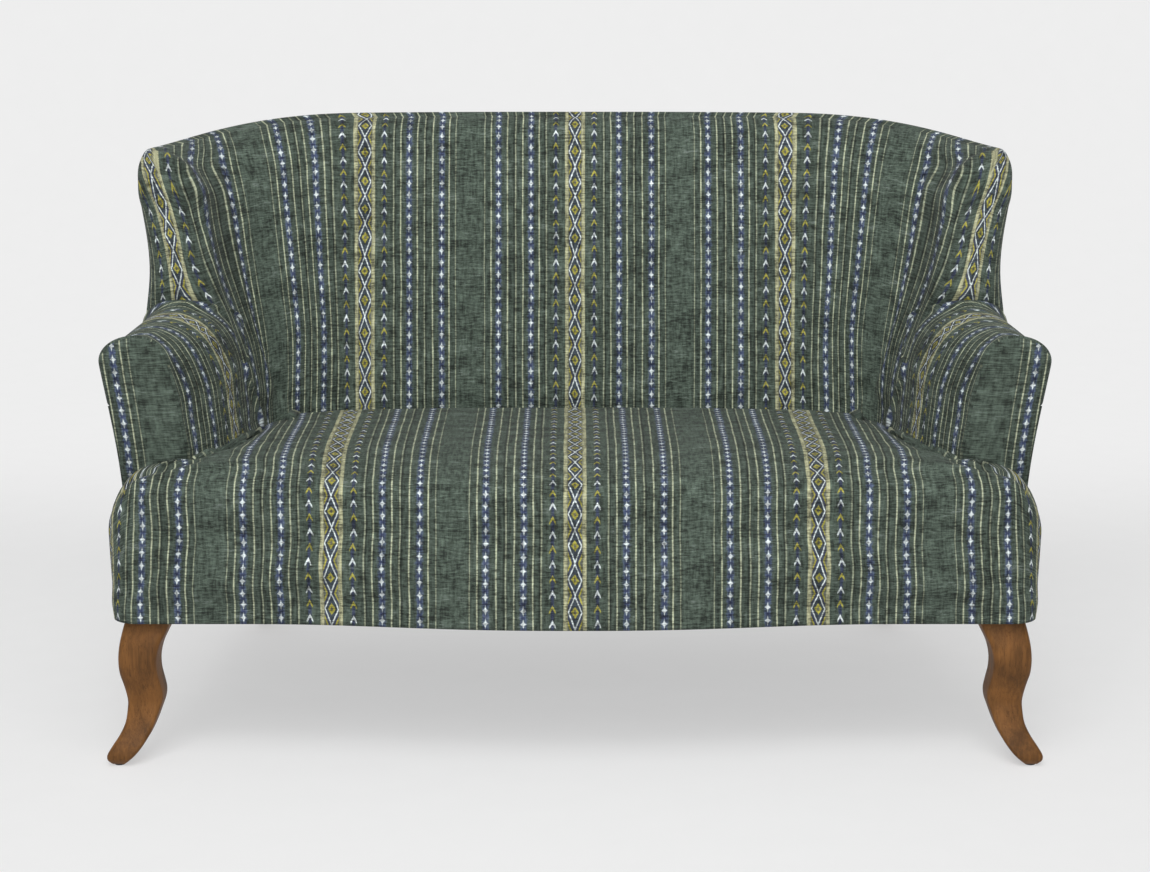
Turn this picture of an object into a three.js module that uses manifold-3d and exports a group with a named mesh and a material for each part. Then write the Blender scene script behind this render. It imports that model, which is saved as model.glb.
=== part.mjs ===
import * as THREE from 'three';
import { mergeVertices } from 'three/addons/utils/BufferGeometryUtils.js';
import Module from 'manifold-3d';

const wasm = await Module();
wasm.setup();

// A high back settee with a tub back, padded arms, a sprung seat and cabriole front legs.
// Millimetres. X runs across the seat, Y from the front to the back, Z up from the floor.

// Overall sizes
const WIDTH = 1500;
const DEPTH = 840;
const HEIGHT = 1005;
const SEAT_HEIGHT = 478;
const BODY_DEPTH = 765;
const BACK_DEEP = 173;
const LEG_HEIGHT = 234;
const ARM_HEIGHT_FRONT = 662;
const ARM_HEIGHT_REAR = 694;
const ARM_SETBACK = 157;
const BACK_RAKE = THREE.MathUtils.degToRad(11);
const REAR_RAKE = THREE.MathUtils.degToRad(2.6);

// Cloth, padding and clearances
const CLOTH_THICK = 3;
const GAP = 0.4;
const BACK_PAD = 38;
const ARM_PAD = 34;
const FRONT_PAD = 16;
const WADDING_THICK = 4;
const CANVAS_THICK = 2;
const DUST_SHEET_THICK = 1.2;
const OVERRUN = 30;
const MERGE = 0.0001;
const CANVAS_INSET = 12;

// Timber and fittings
const RAIL_THICK = 22;
const RAIL_TALL = 110;
const TOP_RAIL_TALL = 55;
const POST_DEEP = 44;
const BLOCK_LEG = 96;
const BLOCK_TALL = 60;
const PLATE_SIZE = 40;
const PLATE_THICK = 2.5;
const BOLT_RADIUS = 4;
const BOLT_IN_LEG = 42;
const BOLT_IN_BLOCK = 48;
const GLIDE_RADIUS = 8.5;
const GLIDE_TALL = 3;
const BOLT_SIDES = 12;
const SPRING_WIRE_RADIUS = 1.9;
const SPRING_ARCH = 14;
const SPRING_SWAY = 24;

const HALF = WIDTH / 2;
const FRONT = -DEPTH / 2;
const SEAT_DEPTH = BODY_DEPTH - BACK_DEEP;
const ARM_FRONT = FRONT + ARM_SETBACK;
const SEAT_BACK = FRONT + SEAT_DEPTH;
const BODY_BACK = FRONT + BODY_DEPTH;
const COVER_BOTTOM = LEG_HEIGHT - CLOTH_THICK;
const RAIL_TOP = LEG_HEIGHT + RAIL_TALL;
const RIGHT_ANGLE = Math.PI / 2;

const COLOURS = {
  cloth: { color: 0x46564c, roughness: 0.92, metalness: 0 },
  foam: { color: 0xe9dfb8, roughness: 0.95, metalness: 0 },
  hessian: { color: 0xa98d5f, roughness: 0.97, metalness: 0 },
  black: { color: 0x1b1b1d, roughness: 0.95, metalness: 0 },
  beech: { color: 0xc9a777, roughness: 0.7, metalness: 0 },
  walnut: { color: 0x7a4f2e, roughness: 0.45, metalness: 0 },
  steel: { color: 0x8d9196, roughness: 0.35, metalness: 1 },
  nylon: { color: 0x2a2624, roughness: 0.6, metalness: 0 },
};

const settee = new THREE.Group();

// Turns a closed geometry into a solid that can be joined and cut.
function solidOf(geometry) {
  const bare = geometry.clone();
  bare.deleteAttribute('normal');
  bare.deleteAttribute('uv');
  const merged = mergeVertices(bare, MERGE);
  const mesh = new wasm.Mesh({
    numProp: 3,
    vertProperties: merged.attributes.position.array,
    triVerts: new Uint32Array(merged.index.array),
  });
  return new wasm.Manifold(mesh);
}

function addPiece(name, finish, solid) {
  const mesh = solid.getMesh();
  const geometry = new THREE.BufferGeometry();
  geometry.setAttribute('position', new THREE.BufferAttribute(mesh.vertProperties, 3));
  geometry.setIndex(new THREE.BufferAttribute(mesh.triVerts, 1));
  geometry.computeVertexNormals();
  const piece = new THREE.Mesh(geometry, new THREE.MeshStandardMaterial(COLOURS[finish]));
  piece.name = name;
  settee.add(piece);
}

// Adds the same piece on the left and, mirrored, on the right.
function addPair(name, finish, rightSolid) {
  addPiece(`${name}_right`, finish, rightSolid);
  addPiece(`${name}_left`, finish, rightSolid.mirror([1, 0, 0]));
}

// The triangles that close one end of a loft: a strip between the two halves of its outline.
function endFaces(count, first) {
  const faces = [];
  for (let j = 0; j + 1 < count / 2; j++) {
    const near = first + j;
    const far = first + count - 1 - j;
    faces.push([near, far - 1, far]);
    if (near + 1 < far - 1) faces.push([near, near + 1, far - 1]);
  }
  return faces;
}

// A closed solid through a row of sections, each a closed outline with the same number of points.
function loft(sections) {
  const count = sections[0].length;
  const last = (sections.length - 1) * count;
  const faces = endFaces(count, 0).map(([a, b, c]) => [a, c, b]);
  faces.push(...endFaces(count, last));
  for (let start = 0; start < last; start += count) {
    for (let j = 0; j < count; j++) {
      const a = start + j;
      const b = start + ((j + 1) % count);
      faces.push([a, b, b + count], [a, b + count, a + count]);
    }
  }
  const geometry = new THREE.BufferGeometry();
  const places = sections.flat().flatMap((point) => [point.x, point.y, point.z]);
  geometry.setAttribute('position', new THREE.Float32BufferAttribute(places, 3));
  geometry.setIndex(faces.flat());
  const solid = solidOf(geometry);
  if (solid.volume() > 0) return solid;
  geometry.setIndex(faces.map(([a, b, c]) => [a, c, b]).flat());
  return solidOf(geometry);
}

// Moves every point of a grid of sections inwards by one distance, square to the surface.
function inset(sections, distance) {
  const rows = sections.length - 1;
  return sections.map((section, i) => section.map((point, j) => {
    const along = sections[Math.min(i + 1, rows)][j].clone().sub(sections[Math.max(i - 1, 0)][j]);
    const up = section[Math.min(j + 1, section.length - 1)].clone().sub(section[Math.max(j - 1, 0)]);
    const inward = along.cross(up).normalize();
    return point.clone().addScaledVector(inward, distance);
  }));
}

// Takes the two lower ends of every section down, so that a cutter opens the bottom.
function dropEnds(sections, innerFloor, outerFloor) {
  return sections.map((section) => {
    const first = section[0].clone().setZ(innerFloor);
    const last = section.at(-1).clone().setZ(outerFloor);
    return [first, ...section, last];
  });
}

// Joins a right half, which ends at the middle plane, to its mirror image.
const whole = (right) => right.add(right.mirror([1, 0, 0]));

const mainBody = (solid) => solid.decompose()
  .reduce((best, body) => (body.volume() > best.volume() ? body : best));

const blend = THREE.MathUtils.lerp;
const ease = THREE.MathUtils.smoothstep;

function box(x0, x1, y0, y1, z0, z1) {
  const geometry = new THREE.BoxGeometry(x1 - x0, y1 - y0, z1 - z0);
  geometry.translate((x0 + x1) / 2, (y0 + y1) / 2, (z0 + z1) / 2);
  return solidOf(geometry);
}

function upright(radius, x, y, z0, z1) {
  const geometry = new THREE.CylinderGeometry(radius, radius, z1 - z0, BOLT_SIDES);
  geometry.rotateX(RIGHT_ANGLE);
  geometry.translate(x, y, (z0 + z1) / 2);
  return solidOf(geometry);
}

// A flat plate with a drawn outline, between two heights.
function plate(outline, z0, z1) {
  const geometry = new THREE.ExtrudeGeometry(new THREE.Shape(outline), {
    depth: z1 - z0,
    bevelEnabled: false,
  });
  geometry.translate(0, 0, z0);
  return solidOf(geometry);
}

// The tub back. Every level has a plan curve that runs from the front edge of a wing, round the
// corner, to the middle of the back: half the width, where it starts, where it ends, and how
// square its corner is. Only the right half is drawn.
const WING_HALF_SHARES = {
  tuck: 0.712, seat: 0.727, arm: 0.802, innerTop: 0.851,
  ridge: 0.937, outerTop: 0.989, waist: 0.957, elbow: 0.969, base: 0.941,
};
const WING_FRONT_SHARES = {
  tuck: 0.052, seat: 0.048, arm: -0.036, innerTop: 0.016,
  ridge: 0.018, outerTop: 0.018, waist: -0.02, elbow: -0.036, base: 0,
};
const SQUARENESS_SHARES = {
  tuck: 3.5, seat: 3.5, arm: 3.3, innerTop: 3,
  ridge: 3, outerTop: 3, waist: 3.3, elbow: 3.6, base: 4,
};
const SHOULDER_DROP = 52;
const SHOULDER_START_SHARE = 0.5;
const SHOULDER_CURVE_SHARE = 2.35;
const ROLL_INNER = 46;
const ROLL_OUTER = 52;
const BACK_THICK = 106;
const TUCK = 78;
const WAIST_RISE = 52;
const ELBOW_DROP = 50;
const NOSE = 46;
const NOSE_BELOW_ARM = 8;
const NOSE_START = 44;
const NOSE_FULL = 22;
const NOSE_TURNS = [75, 50, 25].map(THREE.MathUtils.degToRad);
const BACK_TURNS = [0, 1.2, 5, 13, 25, 38, 52, 68].map(THREE.MathUtils.degToRad);
const ROLL_TURNS = [30, 60].map(THREE.MathUtils.degToRad);
const INNER_TOP_INDEX = 3;
const OUTER_TOP_INDEX = 9;

const rearOf = (z) => SEAT_BACK + (z - SEAT_HEIGHT) * Math.tan(BACK_RAKE);
const outerRearOf = (z) => BODY_BACK + (z - LEG_HEIGHT) * Math.tan(REAR_RAKE);

function onPlan(level, turn, rear) {
  const reach = 2 / SQUARENESS_SHARES[level];
  const start = WING_FRONT_SHARES[level] * DEPTH;
  const across = turn < RIGHT_ANGLE ? WING_HALF_SHARES[level] * HALF * Math.cos(turn) ** reach : 0;
  return new THREE.Vector2(across, blend(start, rear, Math.sin(turn) ** reach));
}

function ridgeHeight(across) {
  const start = SHOULDER_START_SHARE * HALF;
  const run = Math.max(across - start, 0) / (WING_HALF_SHARES.ridge * HALF - start);
  return HEIGHT - SHOULDER_DROP * run ** SHOULDER_CURVE_SHARE;
}

// The points of a quarter round that rises from one end to a ridge.
function rollPoints(end, ridge, turns) {
  return turns.map((turn) => new THREE.Vector3(
    blend(ridge.x, end.x, Math.cos(turn)),
    blend(ridge.y, end.y, Math.cos(turn)),
    blend(end.z, ridge.z, Math.sin(turn)),
  ));
}

// One section of the back: up the inside, over the top and down the outside.
function backSection(turn) {
  const at = (level, z, rear) => {
    const plan = onPlan(level, turn, rear);
    return new THREE.Vector3(plan.x, plan.y, z);
  };
  const rollRear = rearOf(HEIGHT - ROLL_INNER);
  const top = ridgeHeight(onPlan('ridge', turn, rollRear).x);
  const tuckLevel = SEAT_HEIGHT - TUCK;
  const waistLevel = ARM_HEIGHT_REAR + WAIST_RISE;
  const elbowLevel = ARM_HEIGHT_REAR - ELBOW_DROP;
  const innerTop = at('innerTop', top - ROLL_INNER, rollRear);
  const ridge = at('ridge', top, rollRear + BACK_THICK / 2);
  const outerTop = at('outerTop', top - ROLL_OUTER, rollRear + BACK_THICK);
  return [
    at('tuck', tuckLevel, rearOf(tuckLevel)),
    at('seat', SEAT_HEIGHT, SEAT_BACK),
    at('arm', ARM_HEIGHT_REAR, rearOf(ARM_HEIGHT_REAR)),
    innerTop,
    ...rollPoints(innerTop, ridge, ROLL_TURNS),
    ridge,
    ...rollPoints(outerTop, ridge, ROLL_TURNS.toReversed()),
    outerTop,
    at('waist', waistLevel, outerRearOf(waistLevel)),
    at('elbow', elbowLevel, outerRearOf(elbowLevel)),
    at('base', COVER_BOTTOM, outerRearOf(COVER_BOTTOM)),
  ];
}

function noseAt(z) {
  const grown = ease(z, ARM_HEIGHT_REAR - NOSE_START, ARM_HEIGHT_REAR + NOSE_FULL);
  return blend(NOSE_BELOW_ARM, NOSE, grown);
}

// The rounded front edge of a wing: the first section drawn towards its core as it goes forward.
function noseSection(section, turn, distance) {
  const rollFloor = section[INNER_TOP_INDEX].z;
  return section.map((point, j) => {
    const core = point.clone().lerp(section[section.length - 1 - j], 0.5);
    core.setY(point.y).setZ(Math.min(point.z, rollFloor));
    const nose = noseAt(point.z) - distance;
    const inward = core.sub(point).setLength(nose * (1 - Math.cos(turn)));
    return point.clone().add(inward).setY(point.y - nose * Math.sin(turn));
  });
}

const backRight = [...BACK_TURNS, RIGHT_ANGLE].map(backSection);

// The right half of the back, drawn in by some distance.
function backGrid(distance) {
  const drawn = inset(backRight, distance);
  const middle = drawn.at(-1).map((point) => point.clone().setX(0));
  const noses = NOSE_TURNS.map((turn) => noseSection(drawn[0], turn, distance));
  return [...noses, ...drawn.slice(0, -1), middle];
}

const backForm = (distance) => loft(backGrid(distance));

function backCutter(distance) {
  const floor = COVER_BOTTOM - OVERRUN;
  return loft(dropEnds(backGrid(distance), floor, floor));
}

// The hollow that the timber frame of the back stands in.
const OUTER_LAYER = CLOTH_THICK + GAP + WADDING_THICK;
const HOLLOW_START_INDEX = 1;

function hollowSection(section, padThick, outerThick) {
  const inner = section.slice(0, INNER_TOP_INDEX + 1);
  const outer = section.slice(OUTER_TOP_INDEX);
  const towards = (from, to, distance) => {
    const step = new THREE.Vector3(to.x - from.x, to.y - from.y, 0).setLength(distance);
    return from.clone().add(step);
  };
  const innerWall = inner.map((point, row) => towards(point, outer.at(-1 - row), padThick));
  const outerWall = outer.map((point, row) => towards(point, inner.at(-1 - row), outerThick));
  return [...innerWall, ...outerWall];
}

function hollowSections(padThick, outerThick) {
  return backRight.slice(HOLLOW_START_INDEX)
    .map((section) => hollowSection(section, padThick, outerThick));
}

function backHollow(clearance) {
  const sections = hollowSections(BACK_PAD + clearance, OUTER_LAYER + clearance);
  const floor = COVER_BOTTOM - OVERRUN;
  return loft(dropEnds(sections, floor, floor))
    .translate([0, 0, -clearance]);
}

// The arms. A section runs up the inside, over the rolled top and down the outside.
const ARM_INSIDE_SHARES = { bottom: 0.823, bottomRear: 0.731, top: 0.859, topRear: 0.777 };
const ARM_TOP_SHARES = { front: 0.925, rear: 0.876 };
const ARM_OUTSIDE_SHARES = { top: 1, topRear: 0.967, bottom: 0.946, bottomRear: 0.936 };
const ARM_SAG_SHARE = 0.42;
const ARM_NARROWING_SHARE = 2.2;
const ARM_RISE_SHARE = 1.25;
const ARM_ROLL_FRONT = 39;
const ARM_ROLL_REAR = 50;
const FACING_THICK = 4;
const ARM_STATION_SHARES = [0, 0.1, 0.25, 0.5, 0.8, 1.35];
const ARM_SEAM = 560;
const ARM_INSIDE_TOP_INDEX = 2;
const ARM_SIDE_COUNT = 3;

function armSection(share) {
  const along = Math.min(share, 1);
  const narrowing = 1 - (1 - along) ** ARM_NARROWING_SHARE;
  const rise = 1 - (1 - along) ** ARM_RISE_SHARE;
  const start = ARM_FRONT + FACING_THICK + GAP;
  const y = start + (WING_FRONT_SHARES.arm * DEPTH - start) * share;
  const top = blend(ARM_HEIGHT_FRONT, ARM_HEIGHT_REAR, rise);
  const ridge = blend(ARM_TOP_SHARES.front, ARM_TOP_SHARES.rear, rise) * HALF;
  const rollLevel = top - blend(ARM_ROLL_FRONT, ARM_ROLL_REAR, along);
  const insideTop = blend(ARM_INSIDE_SHARES.top, ARM_INSIDE_SHARES.topRear, narrowing) * HALF;
  const inside = blend(ARM_INSIDE_SHARES.bottom, ARM_INSIDE_SHARES.bottomRear, narrowing) * HALF;
  const outsideTop = blend(ARM_OUTSIDE_SHARES.top, ARM_OUTSIDE_SHARES.topRear, along) * HALF;
  const outside = blend(ARM_OUTSIDE_SHARES.bottom, ARM_OUTSIDE_SHARES.bottomRear, along) * HALF;
  const sagged = blend(outside, outsideTop, ARM_SAG_SHARE);
  const at = (x, z) => new THREE.Vector3(x, y, z);
  const innerEnd = at(insideTop, rollLevel);
  const outerEnd = at(outsideTop, rollLevel);
  const crest = at(ridge, top);
  return [
    at(inside, SEAT_HEIGHT - TUCK),
    at(inside, SEAT_HEIGHT),
    innerEnd,
    ...rollPoints(innerEnd, crest, ROLL_TURNS),
    crest,
    ...rollPoints(outerEnd, crest, ROLL_TURNS.toReversed()),
    outerEnd,
    at(sagged, SEAT_HEIGHT),
    at(outside, COVER_BOTTOM),
  ];
}

const armGrid = ARM_STATION_SHARES.map(armSection);
const armForm = (distance) => loft(inset(armGrid, distance));

function armCutter(distance) {
  const floor = COVER_BOTTOM - OVERRUN;
  const grid = inset(armGrid, distance);
  const front = grid[0].map((point) => point.clone().setY(ARM_FRONT + distance));
  const rear = grid.at(-1).map((point) => point.clone().setY(point.y + Math.abs(distance)));
  return loft(dropEnds([front, ...grid, rear], floor, floor));
}

// The hollow of an arm, which the stump and the arm rail fill.
function armHollow(clearance) {
  const floor = COVER_BOTTOM - OVERRUN;
  const wall = (point, distance) => point.clone().setX(point.x + distance);
  const sections = armGrid.map((section) => {
    const inside = section.slice(0, ARM_SIDE_COUNT).map((point) => wall(point, ARM_PAD + clearance));
    const outside = section.slice(-ARM_SIDE_COUNT).map((point) => wall(point, -OUTER_LAYER - clearance));
    return [...inside, ...outside];
  });
  const rear = sections.at(-1).map((point) => point.clone().setY(WING_POST_FRONT + POST_DEEP / 2));
  return loft(dropEnds([...sections, rear], floor, floor)).translate([0, 0, -clearance]);
}

// The seat. Rings climb the sides, roll over the edges and close over a low crown.
const SEAT_HALF_SHARE = 0.984;
const SEAT_BOW = 37;
const SEAT_BOW_HALF_SHARE = 0.66;
const SEAT_BOW_CURVE_SHARE = 1.3;
const SEAT_CORNER = 52;
const SEAT_CORNER_LEAST = 16;
const SEAT_ROLL = 50;
const SEAT_SIDE_ROLL = 100;
const SEAT_LEAN = 8;
const SEAT_HEM = 12;
const SEAT_CROWN = 8;
const SEAT_REACH = 60;
const SEAT_WALL_SHARE = 0.4;
const SEAT_RING_SHARES = [0.2, 0.55];
const FRONT_STEPS = 12;
const CORNER_STEPS = 3;
const REAR_STEPS = 2;

function frontEdge(across) {
  const run = Math.min(Math.abs(across) / (SEAT_BOW_HALF_SHARE * HALF), 1);
  return FRONT + SEAT_BOW * ((1 - Math.cos(Math.PI * run)) / 2) ** SEAT_BOW_CURVE_SHARE;
}

// The plan of the seat, drawn in by some distance, with how much of each point is at the side.
function seatOutline(drawn) {
  const half = SEAT_HALF_SHARE * HALF - drawn;
  const radius = Math.max(SEAT_CORNER - drawn, SEAT_CORNER_LEAST);
  const straight = half - radius;
  const rear = SEAT_BACK + SEAT_REACH;
  const outline = [];
  for (let i = 0; i <= FRONT_STEPS; i++) {
    const across = blend(-straight, straight, i / FRONT_STEPS);
    outline.push({ x: across, y: frontEdge(across) + drawn, side: 0 });
  }
  for (let i = 1; i <= CORNER_STEPS; i++) {
    const turn = RIGHT_ANGLE * i / CORNER_STEPS;
    const y = frontEdge(half) + drawn + radius * (1 - Math.cos(turn));
    outline.push({ x: straight + radius * Math.sin(turn), y, side: i / CORNER_STEPS });
  }
  outline.push({ x: half, y: ARM_FRONT, side: 1 });
  for (let i = 0; i <= REAR_STEPS; i++) {
    outline.push({ x: blend(half, -half, i / REAR_STEPS), y: rear, side: 1 });
  }
  outline.push({ x: -half, y: ARM_FRONT, side: 1 });
  for (let i = CORNER_STEPS; i >= 1; i--) {
    const turn = RIGHT_ANGLE * i / CORNER_STEPS;
    const y = frontEdge(half) + drawn + radius * (1 - Math.cos(turn));
    outline.push({ x: -straight - radius * Math.sin(turn), y, side: i / CORNER_STEPS });
  }
  return outline;
}

function seatRing(drawnAt, heightAt) {
  const whole = seatOutline(0);
  const rings = whole.map((point) => seatOutline(drawnAt(point.side)));
  return whole.map((point, k) => {
    const place = rings[k][k];
    return new THREE.Vector3(place.x, place.y, heightAt(point.side));
  });
}

function seatGrid(distance) {
  const top = SEAT_HEIGHT - SEAT_CROWN - distance;
  const rollAt = (side) => blend(SEAT_ROLL, SEAT_SIDE_ROLL, side) - distance;
  const rings = [
    seatRing((side) => distance + (SEAT_LEAN + SEAT_HEM) * side, () => COVER_BOTTOM),
    seatRing((side) => distance + SEAT_LEAN * side, () => COVER_BOTTOM + SEAT_HEM * 2),
    seatRing((side) => distance + SEAT_LEAN * side / 2, () => blend(COVER_BOTTOM, top, SEAT_WALL_SHARE)),
  ];
  for (const turn of [0, ...ROLL_TURNS, RIGHT_ANGLE]) {
    rings.push(seatRing(
      (side) => distance + rollAt(side) * (1 - Math.cos(turn)),
      (side) => top - rollAt(side) * (1 - Math.sin(turn)),
    ));
  }
  const rim = rings.at(-1);
  const middle = new THREE.Vector3(0, ARM_FRONT, top + SEAT_CROWN);
  for (const share of SEAT_RING_SHARES) {
    rings.push(rim.map((point) => {
      const place = point.clone().lerp(middle, share);
      return place.setZ(blend(top, top + SEAT_CROWN, 1 - (1 - share) ** 3));
    }));
  }
  return rings;
}

const seatForm = (distance) => loft(seatGrid(distance));

function seatOpening(distance) {
  const grid = seatGrid(distance);
  const below = grid[0].map((point) => point.clone().setZ(COVER_BOTTOM - OVERRUN));
  return loft([below, ...grid]);
}

const BASE_SQUARENESS_SHARE = 4;
const BASE_CHAMFER = 14;
const railFront = (across) => frontEdge(across) + CLOTH_THICK + GAP + FRONT_PAD;

function railRear(across, drawn) {
  const half = WING_HALF_SHARES.base * HALF - CLOTH_THICK - GAP - drawn;
  const rear = outerRearOf(LEG_HEIGHT) - CLOTH_THICK - GAP - drawn;
  return rear * (1 - (Math.abs(across) / half) ** BASE_SQUARENESS_SHARE) ** (1 / BASE_SQUARENESS_SHARE);
}

// The plan of the timber base, drawn in from the outside of the covers.
function baseOutline(drawn) {
  const half = WING_HALF_SHARES.base * HALF - CLOTH_THICK - GAP - drawn;
  const rear = outerRearOf(LEG_HEIGHT) - CLOTH_THICK - GAP - drawn;
  const right = [];
  for (let i = 0; i <= FRONT_STEPS / 2; i++) {
    const across = (half - BASE_CHAMFER) * i / (FRONT_STEPS / 2);
    right.push(new THREE.Vector2(across, railFront(across) + drawn));
  }
  right.push(new THREE.Vector2(half, railFront(half) + drawn + BASE_CHAMFER));
  for (const turn of [0, ...BACK_TURNS.slice(2), RIGHT_ANGLE]) {
    const reach = 2 / BASE_SQUARENESS_SHARE;
    const x = half * Math.max(Math.cos(turn), 0) ** reach;
    right.push(new THREE.Vector2(x, rear * Math.sin(turn) ** reach));
  }
  const left = right.slice(1, -1).toReversed().map((point) => new THREE.Vector2(-point.x, point.y));
  return [...right, ...left];
}

// The timber base: four rails round the plan, one across the middle and a block in each corner.
const REAR_JOINT_SHARE = 0.56;
const BASE_FLOOR = LEG_HEIGHT;
const BASE_SIDE = WING_HALF_SHARES.base * HALF - CLOTH_THICK - GAP;
const FRONT_JOINT = railFront(BASE_SIDE) + RAIL_THICK;
const REAR_JOINT = REAR_JOINT_SHARE * HALF;

const baseSlab = (drawn, z0, z1) => plate(baseOutline(drawn), z0, z1);

function addBaseRails() {
  const ring = baseSlab(0, BASE_FLOOR, RAIL_TOP)
    .subtract(baseSlab(RAIL_THICK, BASE_FLOOR - OVERRUN, RAIL_TOP + OVERRUN));
  addPiece('front_rail', 'beech', ring.intersect(
    box(-WIDTH, WIDTH, -DEPTH, FRONT_JOINT, BASE_FLOOR, RAIL_TOP),
  ));
  addPair('side_rail', 'beech', ring.intersect(
    box(REAR_JOINT, WIDTH, FRONT_JOINT + GAP, DEPTH, BASE_FLOOR, RAIL_TOP),
  ));
  addPiece('rear_rail', 'beech', ring.intersect(
    box(GAP - REAR_JOINT, REAR_JOINT - GAP, 0, DEPTH, BASE_FLOOR, RAIL_TOP),
  ));
  const inside = baseSlab(RAIL_THICK + GAP, BASE_FLOOR, BASE_FLOOR + BLOCK_TALL);
  addPiece('cross_rail', 'beech', inside.intersect(
    box(-RAIL_THICK / 2, RAIL_THICK / 2, -DEPTH, DEPTH, BASE_FLOOR, BASE_FLOOR + BLOCK_TALL),
  ));
}

// The legs stand at the corners. A leg is a row of square rings with eased corners.
const LEG_WIDE = 73;
const LEG_X_SHARE = 0.89;
const LEG_Y = FRONT + SEAT_BOW + CLOTH_THICK + FRONT_PAD + LEG_WIDE / 2 - CLOTH_THICK;
const REAR_LEG_WIDE = 50;
const REAR_LEG_X_SHARE = 0.762;
const REAR_LEG_Y_SHARE = 0.7;
const REAR_LEG_Y = REAR_LEG_Y_SHARE * BODY_BACK;
const REAR_FOOT_WIDE = 32;
const REAR_SPLAY = 38;
const FRONT_LEG_SHARES = [
  // height, sideways, forwards, width, depth
  [1, 0, 0, 1, 0.9],
  [0.9, 0.11, 0.1, 0.945, 0.88],
  [0.81, 0.205, 0.19, 0.865, 0.84],
  [0.71, 0.253, 0.24, 0.82, 0.78],
  [0.62, 0.247, 0.22, 0.81, 0.73],
  [0.535, 0.199, 0.16, 0.8, 0.68],
  [0.455, 0.163, 0.11, 0.79, 0.63],
  [0.4, 0.168, 0.09, 0.75, 0.6],
  [0.345, 0.203, 0.12, 0.7, 0.6],
  [0.25, 0.281, 0.23, 0.64, 0.6],
  [0.165, 0.411, 0.37, 0.645, 0.62],
  [0.11, 0.527, 0.47, 0.65, 0.63],
  [0.052, 0.651, 0.55, 0.58, 0.58],
  [0.025, 0.69, 0.58, 0.47, 0.48],
  [0, 0.7, 0.6, 0.3, 0.32],
];
const EASE_SHARE = 0.16;
const REAR_LEG_STEPS = 6;
const REAR_TAPER_SHARE = 1.15;
const REAR_SPLAY_SHARE = 1.3;
const REAR_CURVE_SHARE = 1.35;

function squareRing(x, y, z, wide, deep) {
  const ring = [];
  for (const corner of [0, 1, 2, 3]) {
    const turn = corner * RIGHT_ANGLE;
    const wayX = corner === 0 || corner === 3 ? 1 : -1;
    const wayY = corner < 2 ? 1 : -1;
    for (const step of [0, 1, 2]) {
      const angle = turn + step * RIGHT_ANGLE / 2;
      ring.push(new THREE.Vector3(
        x + wide * (wayX * (0.5 - EASE_SHARE) + EASE_SHARE * Math.cos(angle)),
        y + deep * (wayY * (0.5 - EASE_SHARE) + EASE_SHARE * Math.sin(angle)),
        z,
      ));
    }
  }
  return ring;
}

const FOOT_TOP = GLIDE_TALL + GAP;
const LEG_TOP = LEG_HEIGHT - GAP;

function frontLegRings(grown) {
  return FRONT_LEG_SHARES.map(([height, sideways, forwards, wide, deep]) => squareRing(
    LEG_X_SHARE * HALF + sideways * LEG_WIDE,
    LEG_Y - forwards * LEG_WIDE,
    blend(FOOT_TOP, LEG_TOP, height),
    wide * LEG_WIDE + grown,
    deep * LEG_WIDE + grown,
  ));
}

function rearLegRings(grown) {
  const rings = [];
  const footY = DEPTH / 2 - REAR_FOOT_WIDE / 2;
  for (let i = 0; i <= REAR_LEG_STEPS; i++) {
    const down = i / REAR_LEG_STEPS;
    const wide = blend(REAR_LEG_WIDE, REAR_FOOT_WIDE, Math.min(down * REAR_TAPER_SHARE, 1)) + grown;
    rings.push(squareRing(
      REAR_LEG_X_SHARE * HALF + REAR_SPLAY * down ** REAR_SPLAY_SHARE,
      blend(REAR_LEG_Y, footY, down ** REAR_CURVE_SHARE),
      blend(LEG_TOP, FOOT_TOP, down),
      wide,
      wide,
    ));
  }
  return rings;
}

const legBolts = {
  front: {
    x: LEG_X_SHARE * HALF - PLATE_SIZE / 4,
    y: LEG_Y + PLATE_SIZE / 6,
    rings: frontLegRings,
  },
  rear: {
    x: REAR_LEG_X_SHARE * HALF,
    y: REAR_LEG_Y,
    rings: rearLegRings,
  },
};

function legHole(bolt) {
  const radius = BOLT_RADIUS + GAP;
  const low = LEG_HEIGHT - BOLT_IN_LEG - GAP;
  const high = LEG_HEIGHT + BOLT_IN_BLOCK + GAP;
  return upright(radius, bolt.x, bolt.y, low, high);
}

function legPlate(bolt, grown) {
  const reach = PLATE_SIZE / 2 + grown;
  const top = LEG_TOP;
  return box(
    bolt.x - reach, bolt.x + reach, bolt.y - reach, bolt.y + reach,
    top - PLATE_THICK - grown, top + (grown ? OVERRUN : 0),
  );
}

function addLegs() {
  for (const [name, bolt] of Object.entries(legBolts)) {
    const leg = loft(bolt.rings(0))
      .subtract(legHole(bolt))
      .subtract(legPlate(bolt, GAP));
    addPair(`${name}_leg`, 'walnut', leg);
    addPair(`${name}_leg_plate`, 'steel', legPlate(bolt, 0).subtract(legHole(bolt)));
    addPair(`${name}_leg_bolt`, 'steel', upright(
      BOLT_RADIUS, bolt.x, bolt.y, LEG_HEIGHT - BOLT_IN_LEG, LEG_HEIGHT + BOLT_IN_BLOCK,
    ));
    const foot = bolt.rings(0).at(-1);
    const centre = foot.reduce((sum, point) => sum.add(point), new THREE.Vector3());
    centre.divideScalar(foot.length);
    addPair(`${name}_glide`, 'nylon', upright(GLIDE_RADIUS, centre.x, centre.y, 0, GLIDE_TALL));
  }
}

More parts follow.
